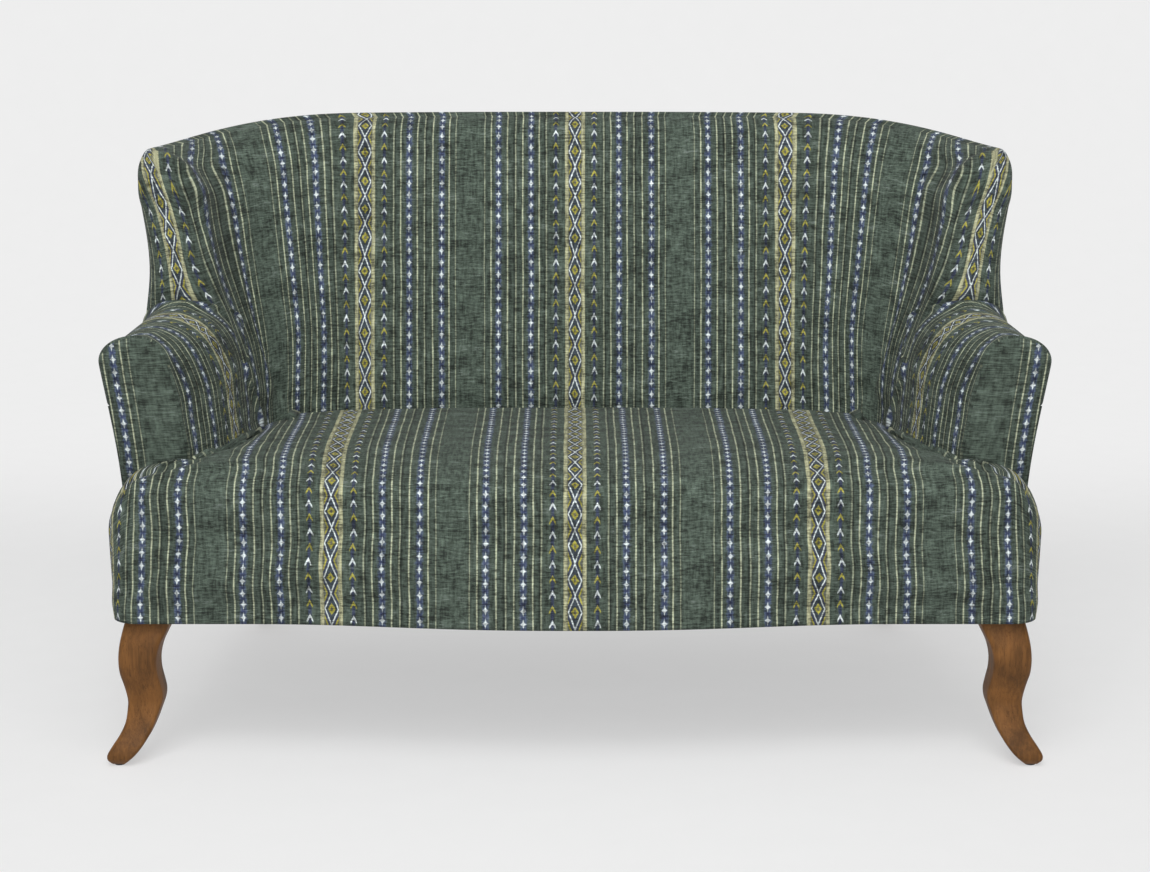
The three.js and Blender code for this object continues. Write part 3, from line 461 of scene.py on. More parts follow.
def line_stops(centre, half, colour, ground):
    """A thin line of one colour between two edges of the ground."""
    outer = half + LINE_EDGE
    return [(centre - outer, ground), (centre - half, colour),
            (centre + half, colour), (centre + outer, ground)]


def warp_stops(colours):
    """The colours across half a repeat, from the middle of the diamond band to the plain stripe."""
    ground, cream, navy, khaki = (
        np.array(getattr(colours, name)) for name in ("ground", "cream", "navy", "khaki"))
    faint = tuple(mixed(ground, cream, 0.6))
    deep = tuple(ground * 0.84)
    dark = tuple(ground * 0.45)
    inky = tuple(mixed(ground * 0.8, navy, 0.45))
    dull = tuple(khaki * 0.72)
    ground, cream, khaki = tuple(ground), tuple(cream), tuple(khaki)
    near = [(0, inky), (0.0285, inky), (0.0325, dull), (0.0375, khaki), (0.0455, khaki),
            (0.0485, ground), (0.1265, deep), (0.1325, deep), (0.1355, faint), (0.139, faint),
            (0.1415, dark), (0.1455, dark), (0.149, deep)]
    near += line_stops(0.171, 0.0019, cream, deep)
    far = line_stops(0.249, 0.0019, cream, deep)
    far += [(0.2765, deep), (0.2785, dark), (0.281, faint), (0.2845, faint), (0.287, dark),
            (0.293, dark), (0.2955, deep)]
    far += line_stops(0.322, 0.0019, cream, deep)
    far += line_stops(0.4, 0.0019, cream, deep)
    far += [*line_stops(0.431, 0.0011, faint, deep), (0.445, ground)]
    return near, far


def stripe_cloth(colours, repeat):
    """The stripe cloth. Each piece says where it lies: repeats across, metres along."""
    f = Finish("stripe_cloth")
    weave = f.add("ShaderNodeAttribute", {"attribute_name": "weave"}, None, "Vector")
    across, along, _ = f.parts(weave)
    drift = f.noise(f.point(across * 5, along * 9), 3) - 0.5
    wobble = f.noise(f.point(across * 40, along * 130), 1) - 0.5
    lane = f.maths("PINGPONG", across + drift * 0.008 + wobble * 0.0016, 0.5)
    near, far = warp_stops(colours)
    rest = 0.5 - BAND_SPLIT
    near = [(place / BAND_SPLIT, colour) for place, colour in near]
    far = [((place - BAND_SPLIT) / rest, colour) for place, colour in far]
    near_lines = f.add("ShaderNodeValToRGB", {"stops": near}, {0: lane / BAND_SPLIT})
    far_lines = f.add("ShaderNodeValToRGB", {"stops": far}, {0: (lane - BAND_SPLIT) / rest})
    cloth = f.mix(lane > BAND_SPLIT, near_lines, far_lines)

    # Slubs and thin places of the yarn, weft over warp
    span = across * repeat
    weft = f.noise(f.point(span * 62, along * 310), 5, rough=0.75) - 0.5
    warp = f.noise(f.point(span * 210, along * 34), 4, rough=0.65) - 0.5
    patch = f.noise(f.point(span * 12, along * 36), 4, rough=0.6) - 0.5
    bleed = f.noise(f.point(span * 420, along * 170), 2) - 0.5
    white, navy, ochre, blue, khaki = (
        tuple(getattr(colours, name)) for name in ("white", "navy", "ochre", "blue", "khaki"))
    stretch = along + drift * 0.006

    # The two blue stripes and the crosses on them
    blue_x = abs(abs(lane - 0.2875) - 0.0775) * repeat
    cross_y = abs((stretch % CROSS_PITCH) - CROSS_PITCH / 2)
    between = f.fade(cross_y, 0.0052, 0.0095)
    streaks = f.fade(blue_x + bleed * 0.011, 0.0068, 0.0036)
    cloth = f.mix(streaks * (0.6 + bleed + between * 0.2), cloth, blue)
    cloth = f.mix(f.fade(blue_x + bleed * 0.003, 0.0042, 0.002) * between * 0.75, cloth, navy)
    stroke = f.fade(blue_x / 0.0016 + cross_y / 0.0064 + bleed * 0.8, 1.6, 0.9)
    bar = f.fade(blue_x / 0.0038 + cross_y / 0.0034 + bleed * 0.9, 1.5, 0.8)
    cloth = f.mix(f.maths("MAXIMUM", stroke, bar) * (0.84 + bleed * 0.9), cloth, white)

    # Chevrons, white and ochre in turn, with navy between them
    chevron_x = abs(lane - 0.0915) * repeat
    climb = stretch + chevron_x * 2.0
    chevron_y = climb % CHEVRON_PITCH
    odd = (climb % (2 * CHEVRON_PITCH)) > CHEVRON_PITCH
    arms = f.fade(chevron_x + bleed * 0.004, 0.0056, 0.0044)
    lower = f.fade(chevron_y - chevron_x * 0.55 + bleed * 0.003, 0.0094, 0.0118)
    chevron = arms * lower * f.fade(chevron_y + bleed * 0.002, 0.018, 0.0162)
    spine = f.fade(chevron_x + bleed * 0.004, 0.0034, 0.0014)
    cloth = f.mix(spine * 0.8, cloth, navy)
    cloth = f.mix(chevron * (0.86 + bleed * 0.9), cloth, f.mix(odd, white, ochre))

    # Diamonds, tip to tip, with a heart in each and lines beside them
    diamond_x = lane * repeat + bleed * 0.0014
    diamond_y = abs(((stretch + drift * 0.02) % DIAMOND_PITCH) - DIAMOND_PITCH / 2)
    ring = diamond_x / 0.0108 + diamond_y / (DIAMOND_PITCH / 2)
    heart = diamond_x / 0.0064 + diamond_y / 0.0094
    inside = f.fade(diamond_x, 0.0118, 0.0106)
    corners = f.fade(ring, 1.08, 1.2)
    cloth = f.mix(inside * corners * 0.2, cloth, khaki)
    wings = f.fade(abs(ring - 1.29), 0.17, 0.07)
    cloth = f.mix(inside * wings * 0.85, cloth, navy)
    gold = f.fade(abs(ring - 1.56), 0.17, 0.08)
    cloth = f.mix(inside * gold * 0.85, cloth, ochre)
    cloth = f.mix(f.fade(abs(ring - 0.97), 0.13, 0.06) * inside * (0.88 + bleed * 0.8),
                  cloth, white)
    cloth = f.mix(inside * f.fade(heart + bleed * 0.3, 1.1, 0.86) * 0.9, cloth, ochre)
    cloth = f.mix(inside * f.fade(heart + bleed * 0.2, 0.5, 0.34) * 0.7, cloth, navy)

    # The yarn shows through every colour
    shade = 1.0 + weft * 5.2 + warp * 2.9 + patch * 2.0
    cloth = f.scaled(cloth, f.add("ShaderNodeClamp", None, {0: shade, 1: 0.3, 2: 2.2}))
    slub = f.fade(weft * 1.1 + patch * 0.8, 0.11, 0.34)
    pale = tuple(mixed(np.array(colours.ground), np.array(colours.white), 0.36))
    cloth = f.mix(slub * 0.6, cloth, pale)

    height = weft * 0.6 + warp * 0.4 + slub * 0.3
    return f.surface(
        cloth, 0.9 + weft * 0.2, height, 0.0012,
        Sheen_Weight=0.05, Sheen_Roughness=0.5, Specular_IOR_Level=0.25)


def timber(name, light, dark, rough, scale, coat):
    """Grain along the length of a piece: long fibres, a few darker rings and pores."""
    f = Finish(name)
    x, y, z = f.parts(f.place())
    fibres = f.noise(f.point(x * 260 * scale, y * 260 * scale, z * 9 * scale), 4, rough=0.6)
    sway = f.noise(f.point(x * 9, y * 9, z * 5), 2)
    rings = f.noise(f.point(x * 34 * scale + sway * 5, y * 34 * scale + sway * 5, z * 2.2), 2)
    pores = f.fade(f.noise(f.point(x * 900, y * 900, z * 45), 1), 0.62, 0.72)
    share = f.fade(fibres * 0.5 + rings * 0.6, 0.32, 0.78)
    colour = f.mix(share, dark, light)
    colour = f.mix(pores * 0.45, colour, tuple(np.array(dark) * 0.5))
    return f.surface(colour, rough + fibres * 0.16, fibres * 0.5 - pores * 0.6, 0.0005,
                     Coat_Weight=coat, Coat_Roughness=0.3, Specular_IOR_Level=0.22)


def brushed_steel():
    """Drawn steel, with fine streaks along it."""
    f = Finish("drawn_steel")
    place = f.place()
    x, y, z = f.parts(place)
    streaks = f.noise(f.point(x * 90, y * 1800, z * 1800), 3)
    colour = f.mix(f.noise(place, 3, 60), linear(128, 131, 134), linear(168, 170, 172))
    return f.surface(colour, 0.28 + streaks * 0.22, streaks, 0.0001, Metallic=1.0)


def glide_plastic():
    """Dark plastic, scuffed where it has slid over floors."""
    f = Finish("black_nylon")
    place = f.place()
    speckle = f.noise(place, 3, 1400)
    scuffs = f.fade(f.noise(place, 4, 160), 0.55, 0.75)
    colour = f.mix(scuffs * 0.5, linear(44, 40, 38), linear(84, 80, 76))
    return f.surface(colour, 0.5 + scuffs * 0.2, speckle, 0.0001)


def plain_weave(name, light, dark, pitch, rough):
    """An open plain weave for the cloths that stay hidden: hessian and the dust cloth."""
    f = Finish(name)
    place = f.place()
    x, y, z = f.parts(place)
    turn = math.tau / pitch
    warp = f.maths("SINE", x * turn)
    weft = f.maths("SINE", (y + z) * turn)
    slub = f.noise(place, 4, 90, 0.6)
    knots = warp * weft * 0.5 + 0.5
    colour = f.mix(f.fade(knots * 0.6 + slub * 0.6, 0.3, 0.9), dark, light)
    return f.surface(colour, rough, knots + slub * 0.6, 0.0006)


def finishes():
    """Every material of the settee, made once."""
    if "stripe_cloth" not in bpy.data.materials:
        scene = bpy.context.scene
        stripe_cloth(scene.settee_colours, scene.settee_sizes.repeat)
        walnut = tuple(scene.settee_colours.walnut)
        timber("stained_walnut", walnut, tuple(np.array(walnut) * 0.42), 0.46, 1, 0.03)
        timber("raw_beech", linear(206, 172, 126), linear(170, 132, 88), 0.55, 0.6, 0.0)
        brushed_steel()
        glide_plastic()
        plain_weave("open_hessian", linear(182, 152, 106), linear(112, 88, 56), 0.0036, 0.94)
        plain_weave("black_dust_cloth", linear(44, 44, 47), linear(16, 16, 18), 0.0024, 0.92)
    return bpy.data.materials


# The tub back

def base_of(s):
    """The level of the lower edge of the covers."""
    return s.leg_height - HEM


def tuck_of(s):
    """The level under the seat's top down to which the covers of the back and arms run."""
    return s.seat_height - TUCK


def arm_front_of(s):
    return s.arm_setback - s.depth / 2


def rear_of(s, z):
    return s.seat_depth - s.depth / 2 + (z - s.seat_height) * math.tan(BACK_LEAN)


def outer_rear_of(s, z):
    return s.body_depth - s.depth / 2 + (z - s.leg_height) * math.tan(REAR_LEAN)


def level_points(s, level, turns, rear, z):
    """The plan curve of the right half of the tub at one of its levels."""
    half_share, front_share, square = TUB_LEVELS[level]
    reach = 2 / square
    start = front_share * s.depth
    across = half_share * s.width / 2 * np.maximum(np.cos(turns), TINY) ** reach
    along = start + (rear - start) * np.sin(turns) ** reach
    return np.stack([across, along, np.broadcast_to(z, across.shape)], axis=-1)


def quarter(end, ridge, turns):
    """A quarter round from the end of a wall to the ridge of a roll, row by row."""
    turns = turns[:, None]
    flat = ridge[None, :, :2] + (end[None, :, :2] - ridge[None, :, :2]) * np.cos(turns)[..., None]
    z = end[None, :, 2] + (ridge[None, :, 2] - end[None, :, 2]) * np.sin(turns)
    return np.concatenate([flat, z[..., None]], axis=2)


# The grid of half the tub, and how its fine steps crowd together towards the wing.
WALL_ROWS = 44
ROLL_ROWS = 9
LOW_ROWS = 16
NOSE_COLUMNS = 10
TUB_COLUMNS = 66
FINE_STEPS, FINE_CROWD = 4000, 2.6
PAIRED_ROWS = 2 * (WALL_ROWS + ROLL_ROWS) - 3
SEAM_ROW = WALL_ROWS + 2 * ROLL_ROWS

# Rows before and after each join of wall and roll that are softened, inside and outside.
JOIN_ROWS = ((6, 6), (4, 6))
JOIN_TIMES = 6

# The seam behind the roll: how many rows it takes, how deep it lies and where it fades out.
SEAM_WIDE = 1.6
SEAM_DEEP = 0.004
SEAM_REACH = 0.6

# How firmly the outer side of the roll is held, and where the cover comes free of the seat.
OUTER_HOLD = 0.6
BACK_FREE = 0.012


def tub_turns(s):
    """Turns of the plan curve that lie evenly spaced along it, from a wing to the middle."""
    fine = np.linspace(0, 1, FINE_STEPS) ** FINE_CROWD * math.pi / 2
    curve = level_points(s, "arm", fine, rear_of(s, s.arm_rear), s.arm_rear)
    run = lengths(curve[None], 1)[0]
    return np.interp(np.linspace(0, run[-1], TUB_COLUMNS), run, fine)


def tub_half(s):
    """The right half of the back: rows up the inside, over the roll and down the outside.

    Columns run from the middle to the front edge of the wing and round its nose.
    """
    turns = tub_turns(s)[::-1]
    tuck, base = tuck_of(s), base_of(s)
    roll_rear = rear_of(s, s.height - ROLL_INNER)
    half = s.width / 2
    ridge_x = level_points(s, "ridge", turns, roll_rear, 0)[:, 0]
    run = np.maximum(ridge_x - half / 2, 0) / (TUB_LEVELS["ridge"][0] * half - half / 2)
    top = s.height - SHOULDER_DROP * run ** SHOULDER_BEND
    heights = {"tuck": tuck, "seat": s.seat_height, "arm": s.arm_rear}
    inner = np.stack([
        *(level_points(s, level, turns, rear_of(s, z), z) for level, z in heights.items()),
        level_points(s, "inner_top", turns, roll_rear, top - ROLL_INNER),
    ])
    ridge = level_points(s, "ridge", turns, roll_rear + BACK_THICK / 2, top)
    heights = {"base": base, "elbow": s.arm_rear - ELBOW_DROP, "waist": s.arm_rear + WAIST_RISE}
    outer = np.stack([
        *(level_points(s, level, turns, outer_rear_of(s, z), z) for level, z in heights.items()),
        level_points(s, "outer_top", turns, roll_rear + BACK_THICK, top - ROLL_OUTER),
    ])
    share = np.linspace(0, 1, WALL_ROWS)[:, None]
    low = np.linspace(1, 0, LOW_ROWS + 1)[1:, None]
    inner_wall = through(inner[..., 2], inner, mixed(tuck, inner[-1, :, 2], share))
    outer_wall = through(outer[..., 2], outer, mixed(tuck, outer[-1, :, 2], share[::-1]))
    low_wall = through(outer[..., 2], outer, mixed(base, tuck, low) + 0 * inner[-1:, :, 2])
    angles = np.linspace(0, math.pi / 2, ROLL_ROWS)
    section = np.concatenate([
        inner_wall,
        quarter(inner[-1], ridge, angles[1:-1]),
        ridge[None],
        quarter(outer[-1], ridge, angles[-2:0:-1]),
        outer_wall,
        low_wall,
    ])
    far = PAIRED_ROWS - WALL_ROWS
    for row, (before, after) in zip((WALL_ROWS, far), JOIN_ROWS):
        section = eased_rows(section, row - before, row + after, JOIN_TIMES)
    edge = section[:PAIRED_ROWS, -1]
    core = (edge + edge[::-1]) / 2
    core[WALL_ROWS:far] = core[WALL_ROWS - 1]
    rise = ease(edge[:, 2], s.arm_rear - NOSE_STARTS, s.arm_rear + NOSE_FULL)
    noses = []
    for turn in np.linspace(0, math.pi / 2, NOSE_COLUMNS + 1)[1:]:
        place = mixed(edge, core, 1 - max(math.cos(turn), 0) ** NOSE_ROUND)
        place[:, 1] -= mixed(NOSE_LOW, NOSE, rise) * math.sin(turn) ** NOSE_ROUND
        noses.append(place)
    below = np.repeat(section[PAIRED_ROWS:, -1:], NOSE_COLUMNS, axis=1)
    nose = np.concatenate([np.stack(noses, axis=1), below])
    return np.concatenate([section, nose], axis=1)


# How the stripes fan out over a wing, at these rows of the grid: how far each repeat lies from
# the middle of the back, then how far from the middle of the nose (negative beyond it).
FAN_ROWS = (8, 17, 24, 30, 36, 43, 47, 51)
FAN_INNER = {
    1.2125: (0.4547, 0.454, 0.4588, 0.4633, 0.4681, 0.4729, 0.4787, 0.487),
    1.365: (0.5012, 0.5001, 0.5073, 0.5154, 0.5228, 0.5307, 0.5396, 0.55),
    1.635: (0.572, 0.5769, 0.5958, 0.6086, 0.6194, 0.6389, 0.6521, 0.6661),
    1.7875: (0.608, 0.6258, 0.6792, 0.7276, 0.757, 0.7474, 0.7262, 0.7222),
}
FAN_OUTER = {
    1.9075: (0.073, 0.07, 0.0631, 0.0336, 0.0286, 0.0206, 0.0291, 0.066),
    2: (0.01, 0.008, 0.006, 0.002, -0.0032, -0.015, -0.0305, -0.045),
    2.0925: (-0.0278, -0.0278, -0.0278, -0.0262, -0.0303, -0.0419, -0.058, -0.073),
    2.171: (-0.057, -0.057, -0.057, -0.056, -0.062, -0.073, -0.089, -0.104),
    3: (-0.371, -0.371, -0.371, -0.37, -0.376, -0.387, -0.403, -0.418),
}

# The cloth at the top of a wing, which lies straight back over the nose.
NOSE_MIDDLE = 0.943
NOSE_SLANT = 0.2
NOSE_LEVEL = 0.906
NOSE_REPEAT = 0.37
NOSE_CLOTH = 0.5165
NOSE_TOP_ROWS = (38, 44)
BESIDE_NOSE = 18

# Where a wing's front begins, the rows behind the ridge over which its cloth turns, and where
# the length of the cloth counts from.
WING_FRONT = (-0.012, 0.045)
WING_FROM = 0.3
WING_TURN_ROWS = 4
CLOTH_FOOT_ROW = 10
BACK_STRETCH = 0.945


def nose_weave(s, grid):
    """The cloth laid straight back over the nose at the top of a wing."""
    middle = NOSE_MIDDLE * s.width / 2 + NOSE_SLANT * (grid[..., 2] - NOSE_LEVEL)
    return 2 + (grid[..., 0] - middle) / NOSE_REPEAT, grid[..., 2] - NOSE_CLOTH


def met_at_nose(table, laid, share):
    """Takes what is laid over the nose, and moves the columns beside it so that they meet it."""
    columns = np.arange(table.shape[1])
    gap = (laid - table)[:, TUB_COLUMNS:TUB_COLUMNS + 1]
    beside = table + gap * ease(columns, TUB_COLUMNS - BESIDE_NOSE, TUB_COLUMNS)
    return mixed(table, np.where(columns < TUB_COLUMNS, beside, laid), share)


def tub_weave(s, grid):
    """Where each point of the inside back lies in the cloth: repeats across, metres up."""
    run = lengths(grid, 1)
    ridge = FAN_ROWS[-1]
    rows = np.arange(len(grid))
    from_foot = np.minimum(rows, PAIRED_ROWS - 1 - rows)
    levels = np.clip(from_foot, FAN_ROWS[0], ridge)[:, None]
    table = np.array([*FAN_INNER.values(), *FAN_OUTER.values()]).T
    table = through(np.array(FAN_ROWS)[:, None], table[:, None], levels)[:, 0]
    inner, outer = np.split(table, [len(FAN_INNER)], axis=1)
    across = np.empty_like(run)
    for row, steps in enumerate(run):
        whole = steps[-1]
        if row <= ridge:
            places = [0, s.repeat, *inner[row], *(whole - outer[row])]
            across[row] = np.interp(steps, places, [0, 1, *FAN_INNER, *FAN_OUTER])
        else:
            across[row] = np.interp(whole - steps, -outer[row], list(FAN_OUTER))
    front = (1 - ease(grid[..., 1], *WING_FRONT)) * (grid[..., 0] > WING_FROM)
    turned = front * ease(rows, ridge, ridge + WING_TURN_ROWS)[:, None]
    beyond = rows[:, None] > ridge
    up = lengths(grid, 0)
    up -= up[CLOTH_FOOT_ROW]
    inside, outside = up[:PAIRED_ROWS], up[PAIRED_ROWS - 1::-1]
    up[:PAIRED_ROWS] = np.where(beyond[:PAIRED_ROWS],
                                mixed(inside, outside, turned[:PAIRED_ROWS]), inside)
    over, straight_up = nose_weave(s, grid)
    level = ease(from_foot, *NOSE_TOP_ROWS)[:, None]
    across = met_at_nose(across, over, level)
    across = np.where(beyond, mixed(across[ridge], across, turned), across)
    up = met_at_nose(up, straight_up, level * np.where(beyond, turned, 1))
    return np.stack([across, up * BACK_STRETCH], axis=-1)


def outer_weave(s, grid):
    """The cloth of the outside back, which hangs straight from the roll."""
    return np.stack([lengths(grid, 1) / s.repeat, grid[..., 2]], axis=-1)


def seam_share(distance, width):
    """How firmly cloth is held at some distance from its seam."""
    return 1 - ease(distance, 0, width)


def make_back(s):
    """Covers the inside and the outside of the back, from one grid."""
    half = tub_half(s)
    weave = both_sides(tub_weave(s, half))
    grid = both_sides(half)
    faces = np.zeros((len(grid) - 1, grid.shape[1] - 1), bool)
    faces[:SEAM_ROW] = True
    faces[:PAIRED_ROWS - 1, :NOSE_COLUMNS] = True
    faces[:PAIRED_ROWS - 1, -NOSE_COLUMNS:] = True
    up = lengths(grid, 0)
    hold = seam_share(np.minimum(up, np.abs(up - up[SEAM_ROW])), BACK_SEAM)
    hold[WALL_ROWS + ROLL_ROWS:] = np.maximum(hold[WALL_ROWS + ROLL_ROWS:], OUTER_HOLD)
    hold = np.maximum(hold, (grid[..., 2] < s.seat_height + BACK_FREE) * 1.0)
    groove = ease(np.abs(np.arange(len(grid)) - SEAM_ROW), SEAM_WIDE, 0)[:, None]
    tucked = grid.copy()
    middle = tucked[:, NOSE_COLUMNS + 1:-NOSE_COLUMNS - 1]
    middle[..., 1] -= SEAM_DEEP * groove * (np.abs(middle[..., 0]) < SEAM_REACH)
    piece = grid_piece("inside_back", tucked, weave, faces, hold)
    swell(piece, BACK_SLACK)
    finished(piece, COVER_THICK, finer=1)
    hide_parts("back_cover", "back_pad", "back_lining")

    low = eased_rows(grid[SEAM_ROW:, NOSE_COLUMNS:-NOSE_COLUMNS], 1, 2, 1)
    weave = both_sides(outer_weave(s, half[SEAM_ROW:, :-NOSE_COLUMNS]))
    outside = grid_piece("outside_back", low, weave)
    finished(outside, SHEET_THICK)
    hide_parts("outer_back_cover")


# The arms

# Half widths of the lines along an arm, at its front and at the back, as shares.
ARM_LINES = {
    "inner_low": (0.823, 0.731), "inner_high": (0.859, 0.777), "crest": (0.925, 0.876),
    "outer_high": (1, 0.967), "outer_low": (0.946, 0.936),
}
ARM_ROLL = (0.039, 0.05)
ARM_SAG = 0.42
ARM_NARROWS = 2.2
ARM_RISES = 1.25
ARM_FREE = -0.01
ARM_SEAM_LEVEL = 0.56

# Where the back is looked for along an arm, the end of a row that misses it, how often the
# ends are softened, and how far the cover laps over the outside back below the seat.
ARM_PROBE = (0.3, 1.6, 90)
ARM_PAST = 1.2
ARM_END_TIMES = 3
ARM_LAP = 0.004
ARM_INSIDE_ROWS = 30
ARM_ROLL_ROWS = 10
ARM_OUTSIDE_ROWS = 40
ARM_ROWS = ARM_INSIDE_ROWS + 2 * ARM_ROLL_ROWS - 1 + ARM_OUTSIDE_ROWS
ARM_COLUMNS = 30

# How far back each repeat lies along an arm, at these rows of its section.
ARM_RUN_ROWS = (10, 16, 22, 27, 31, 35, 38)
ARM_RUN = {
    0.46: (-0.262, -0.258, -0.254, -0.26, -0.269, -0.265, -0.25),
    0.365: (-0.2346, -0.231, -0.226, -0.2332, -0.243, -0.2384, -0.2216),
    0.2125: (-0.1885, -0.1808, -0.1755, -0.1839, -0.1939, -0.1913, -0.1849),
    0.0925: (-0.1528, -0.1405, -0.132, -0.145, -0.1606, -0.1607, -0.152),
    0: (-0.1219, -0.1093, -0.0976, -0.1119, -0.1331, -0.13, -0.118),
    -0.0925: (-0.0891, -0.0781, -0.0523, -0.0735, -0.0953, -0.0941, -0.085),
    -0.2125: (-0.0438, -0.0121, 0.0163, -0.0051, -0.0406, -0.0575, -0.055),
    -0.365: (0.027, 0.06, 0.09, 0.07, 0.04, 0.02, 0.02),
}

# How an arm's cover turns in at its front edge and down into the crease at the back.
EDGE_WIDE, EDGE_DEEP = 0.009, 0.0035
CREASE_EDGE_WIDE, CREASE_EDGE_DEEP = 0.014, 0.007

# The facing: where it lies and how far its middle stands out from its rim.
FACING = 0.0085
FACING_FOOT = 0.131
FACING_BACK = 0.0052
FACING_SWELL = 0.0048
FACING_RIM = (-0.004, 0.016)
FACING_ROWS = 46
FACING_COLUMNS = 25

# The cloth of a facing: its first stripe, the line that the stripe keeps to at the foot and at
# the top, how far past seat and crest that is drawn in, and where and how much it is squeezed.
FACING_STRIPE = 0.365
FACING_LINE = (0.944, 0.979)
FACING_DRAWN = 0.06
FACING_BEND = 0.45
FACING_SQUEEZE = 0.4


def arm_rows(s, shares):
    """Points of the right arm. shares has one row for each row of the section."""
    half = s.width / 2
    rear = TUB_LEVELS["arm"][1] * s.depth
    start = arm_front_of(s) + FACING
    along = np.minimum(shares, 1)
    narrow = 1 - (1 - along) ** ARM_NARROWS
    rise = 1 - (1 - along) ** ARM_RISES
    top = mixed(s.arm_front, s.arm_rear, rise)
    roll = top - mixed(*ARM_ROLL, along)
    crest = mixed(*ARM_LINES["crest"], rise) * half
    inner_low = mixed(*ARM_LINES["inner_low"], narrow) * half
    inner_high = mixed(*ARM_LINES["inner_high"], narrow) * half
    outer_high = mixed(*ARM_LINES["outer_high"], along) * half
    outer_low = mixed(*ARM_LINES["outer_low"], along) * half
    sag = mixed(outer_low, outer_high, ARM_SAG)
    x, z = np.empty_like(shares), np.empty_like(shares)

    inside = slice(0, ARM_INSIDE_ROWS)
    part = np.linspace(0, 1, ARM_INSIDE_ROWS)[:, None]
    z[inside] = mixed(tuck_of(s), roll[inside], part)
    above = (z[inside] - s.seat_height) / (roll[inside] - s.seat_height)
    x[inside] = mixed(inner_low[inside], inner_high[inside], np.clip(above, 0, 1))

    over = slice(ARM_INSIDE_ROWS, ARM_ROWS - ARM_OUTSIDE_ROWS)
    turn = np.linspace(0, math.pi, 2 * ARM_ROLL_ROWS + 1)[1:-1, None]
    end = np.where(turn < math.pi / 2, inner_high[over], outer_high[over])
    x[over] = crest[over] + (end - crest[over]) * np.abs(np.cos(turn))
    z[over] = roll[over] + (top[over] - roll[over]) * np.sin(turn)

    outside = slice(over.stop, None)
    part = np.linspace(1, 0, ARM_OUTSIDE_ROWS)[:, None]
    z[outside] = mixed(base_of(s), roll[outside], part)
    shape = z[outside].shape
    stations = np.stack([np.full(shape, base_of(s)), np.full(shape, s.seat_height), roll[outside]])
    values = np.stack([outer_low[outside], sag[outside], outer_high[outside]])
    x[outside] = through(stations.reshape(3, -1), values.reshape(3, -1, 1),
                         z[outside].reshape(1, -1))[0, :, 0].reshape(shape)
    y = start + (rear - start) * shares
    return np.stack([x, y, z], axis=-1)


def inside_tree(tree, place):
    near, normal, _, _ = tree.find_nearest(place)
    return near is not None and (Vector(place) - near).dot(normal) < CLEAR


def arm_half(s):
    """The right arm as a grid whose rows end where they meet the back."""
    tub = tub_half(s)
    tree = tree_of(both_sides(tub))
    fine = np.linspace(*ARM_PROBE)
    probe = arm_rows(s, np.repeat(fine[None], ARM_ROWS, axis=0))
    ends = np.array([next((share for share, place in zip(fine, row) if inside_tree(tree, place)),
                          ARM_PAST) for row in probe])
    # Below the seat the cover runs to the front edge of the outside back
    edge = tub[:PAIRED_ROWS - 1:-1, TUB_COLUMNS - 1]
    low = probe[:, 0, 2] < tuck_of(s)
    reach = np.interp(probe[low, 0, 2], edge[:, 2], edge[:, 1]) + ARM_LAP
    first, last = probe[low, 0, 1], probe[low, -1, 1]
    ends[low] = fine[0] + (fine[-1] - fine[0]) * (reach - first) / (last - first)
    for _ in range(ARM_END_TIMES):
        ends[1:-1] = (ends[:-2] + 2 * ends[1:-1] + ends[2:]) / 4
    return arm_rows(s, np.linspace(0, 1, ARM_COLUMNS) * ends[:, None])


def arm_weave(grid):
    """Where each point of an arm lies in the cloth: repeats across, metres up and over."""
    across = np.empty(grid.shape[:2])
    levels = np.clip(np.arange(len(grid)), ARM_RUN_ROWS[0], ARM_RUN_ROWS[-1])[:, None]
    table = np.array(list(ARM_RUN.values())).T[:, None]
    places = through(np.array(ARM_RUN_ROWS)[:, None], table, levels)[:, 0]
    for row, points in enumerate(grid):
        across[row] = np.interp(points[:, 1], places[row], list(ARM_RUN))
    return np.stack([across, lengths(grid, 0)], axis=-1)


def edge_rounding(grid):
    """Turns the front edge of a cover in over its seam, and its rear edge down into the crease."""
    along = grid[..., 1]
    near = ease(along - along[:, :1], EDGE_WIDE, 0)
    far = ease(along[:, -1:] - along, CREASE_EDGE_WIDE, 0)
    inward = np.cross(np.gradient(grid, axis=0), np.gradient(grid, axis=1))
    inward /= np.maximum(np.linalg.norm(inward, axis=2, keepdims=True), TINY)
    return grid + inward * (near * EDGE_DEEP + far * CREASE_EDGE_DEEP)[..., None]


def make_arm(s, side, name):
    """Covers an arm with its padding, and its outside below the roll with a flat panel."""
    grid = arm_half(s)
    weave = arm_weave(grid)
    outer_rows = np.arange(len(grid)) > ARM_INSIDE_ROWS + 2 * ARM_ROLL_ROWS
    seam = int(np.argmax(outer_rows & (grid[:, 0, 2] < ARM_SEAM_LEVEL)))
    faces = np.zeros((len(grid) - 1, grid.shape[1] - 1), bool)
    faces[:seam] = True
    up, run = lengths(grid, 0), lengths(grid, 1)
    distance = np.minimum(np.minimum(up, np.abs(up - up[seam])),
                          np.minimum(run, run[:, -1:] - run))
    hold = seam_share(distance, ARM_SEAM)
    hold = np.maximum(hold, (grid[..., 2] < s.seat_height + ARM_FREE) * 1.0)
    shaped = edge_rounding(grid)
    shaped[..., 0] *= side
    piece = grid_piece(f"arm_{name}", shaped, weave, faces, hold)
    panel = grid_piece(f"outside_arm_{name}", shaped[seam:], weave[seam:])
    if side > 0:
        piece.data.flip_normals()
        panel.data.flip_normals()
    swell(piece, ARM_SLACK)
    finished(piece, COVER_THICK, finer=1)
    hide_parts(f"arm_cover_{name}", f"arm_pad_{name}")

    finished(panel, SHEET_THICK)
    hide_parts(f"outer_arm_cover_{name}")


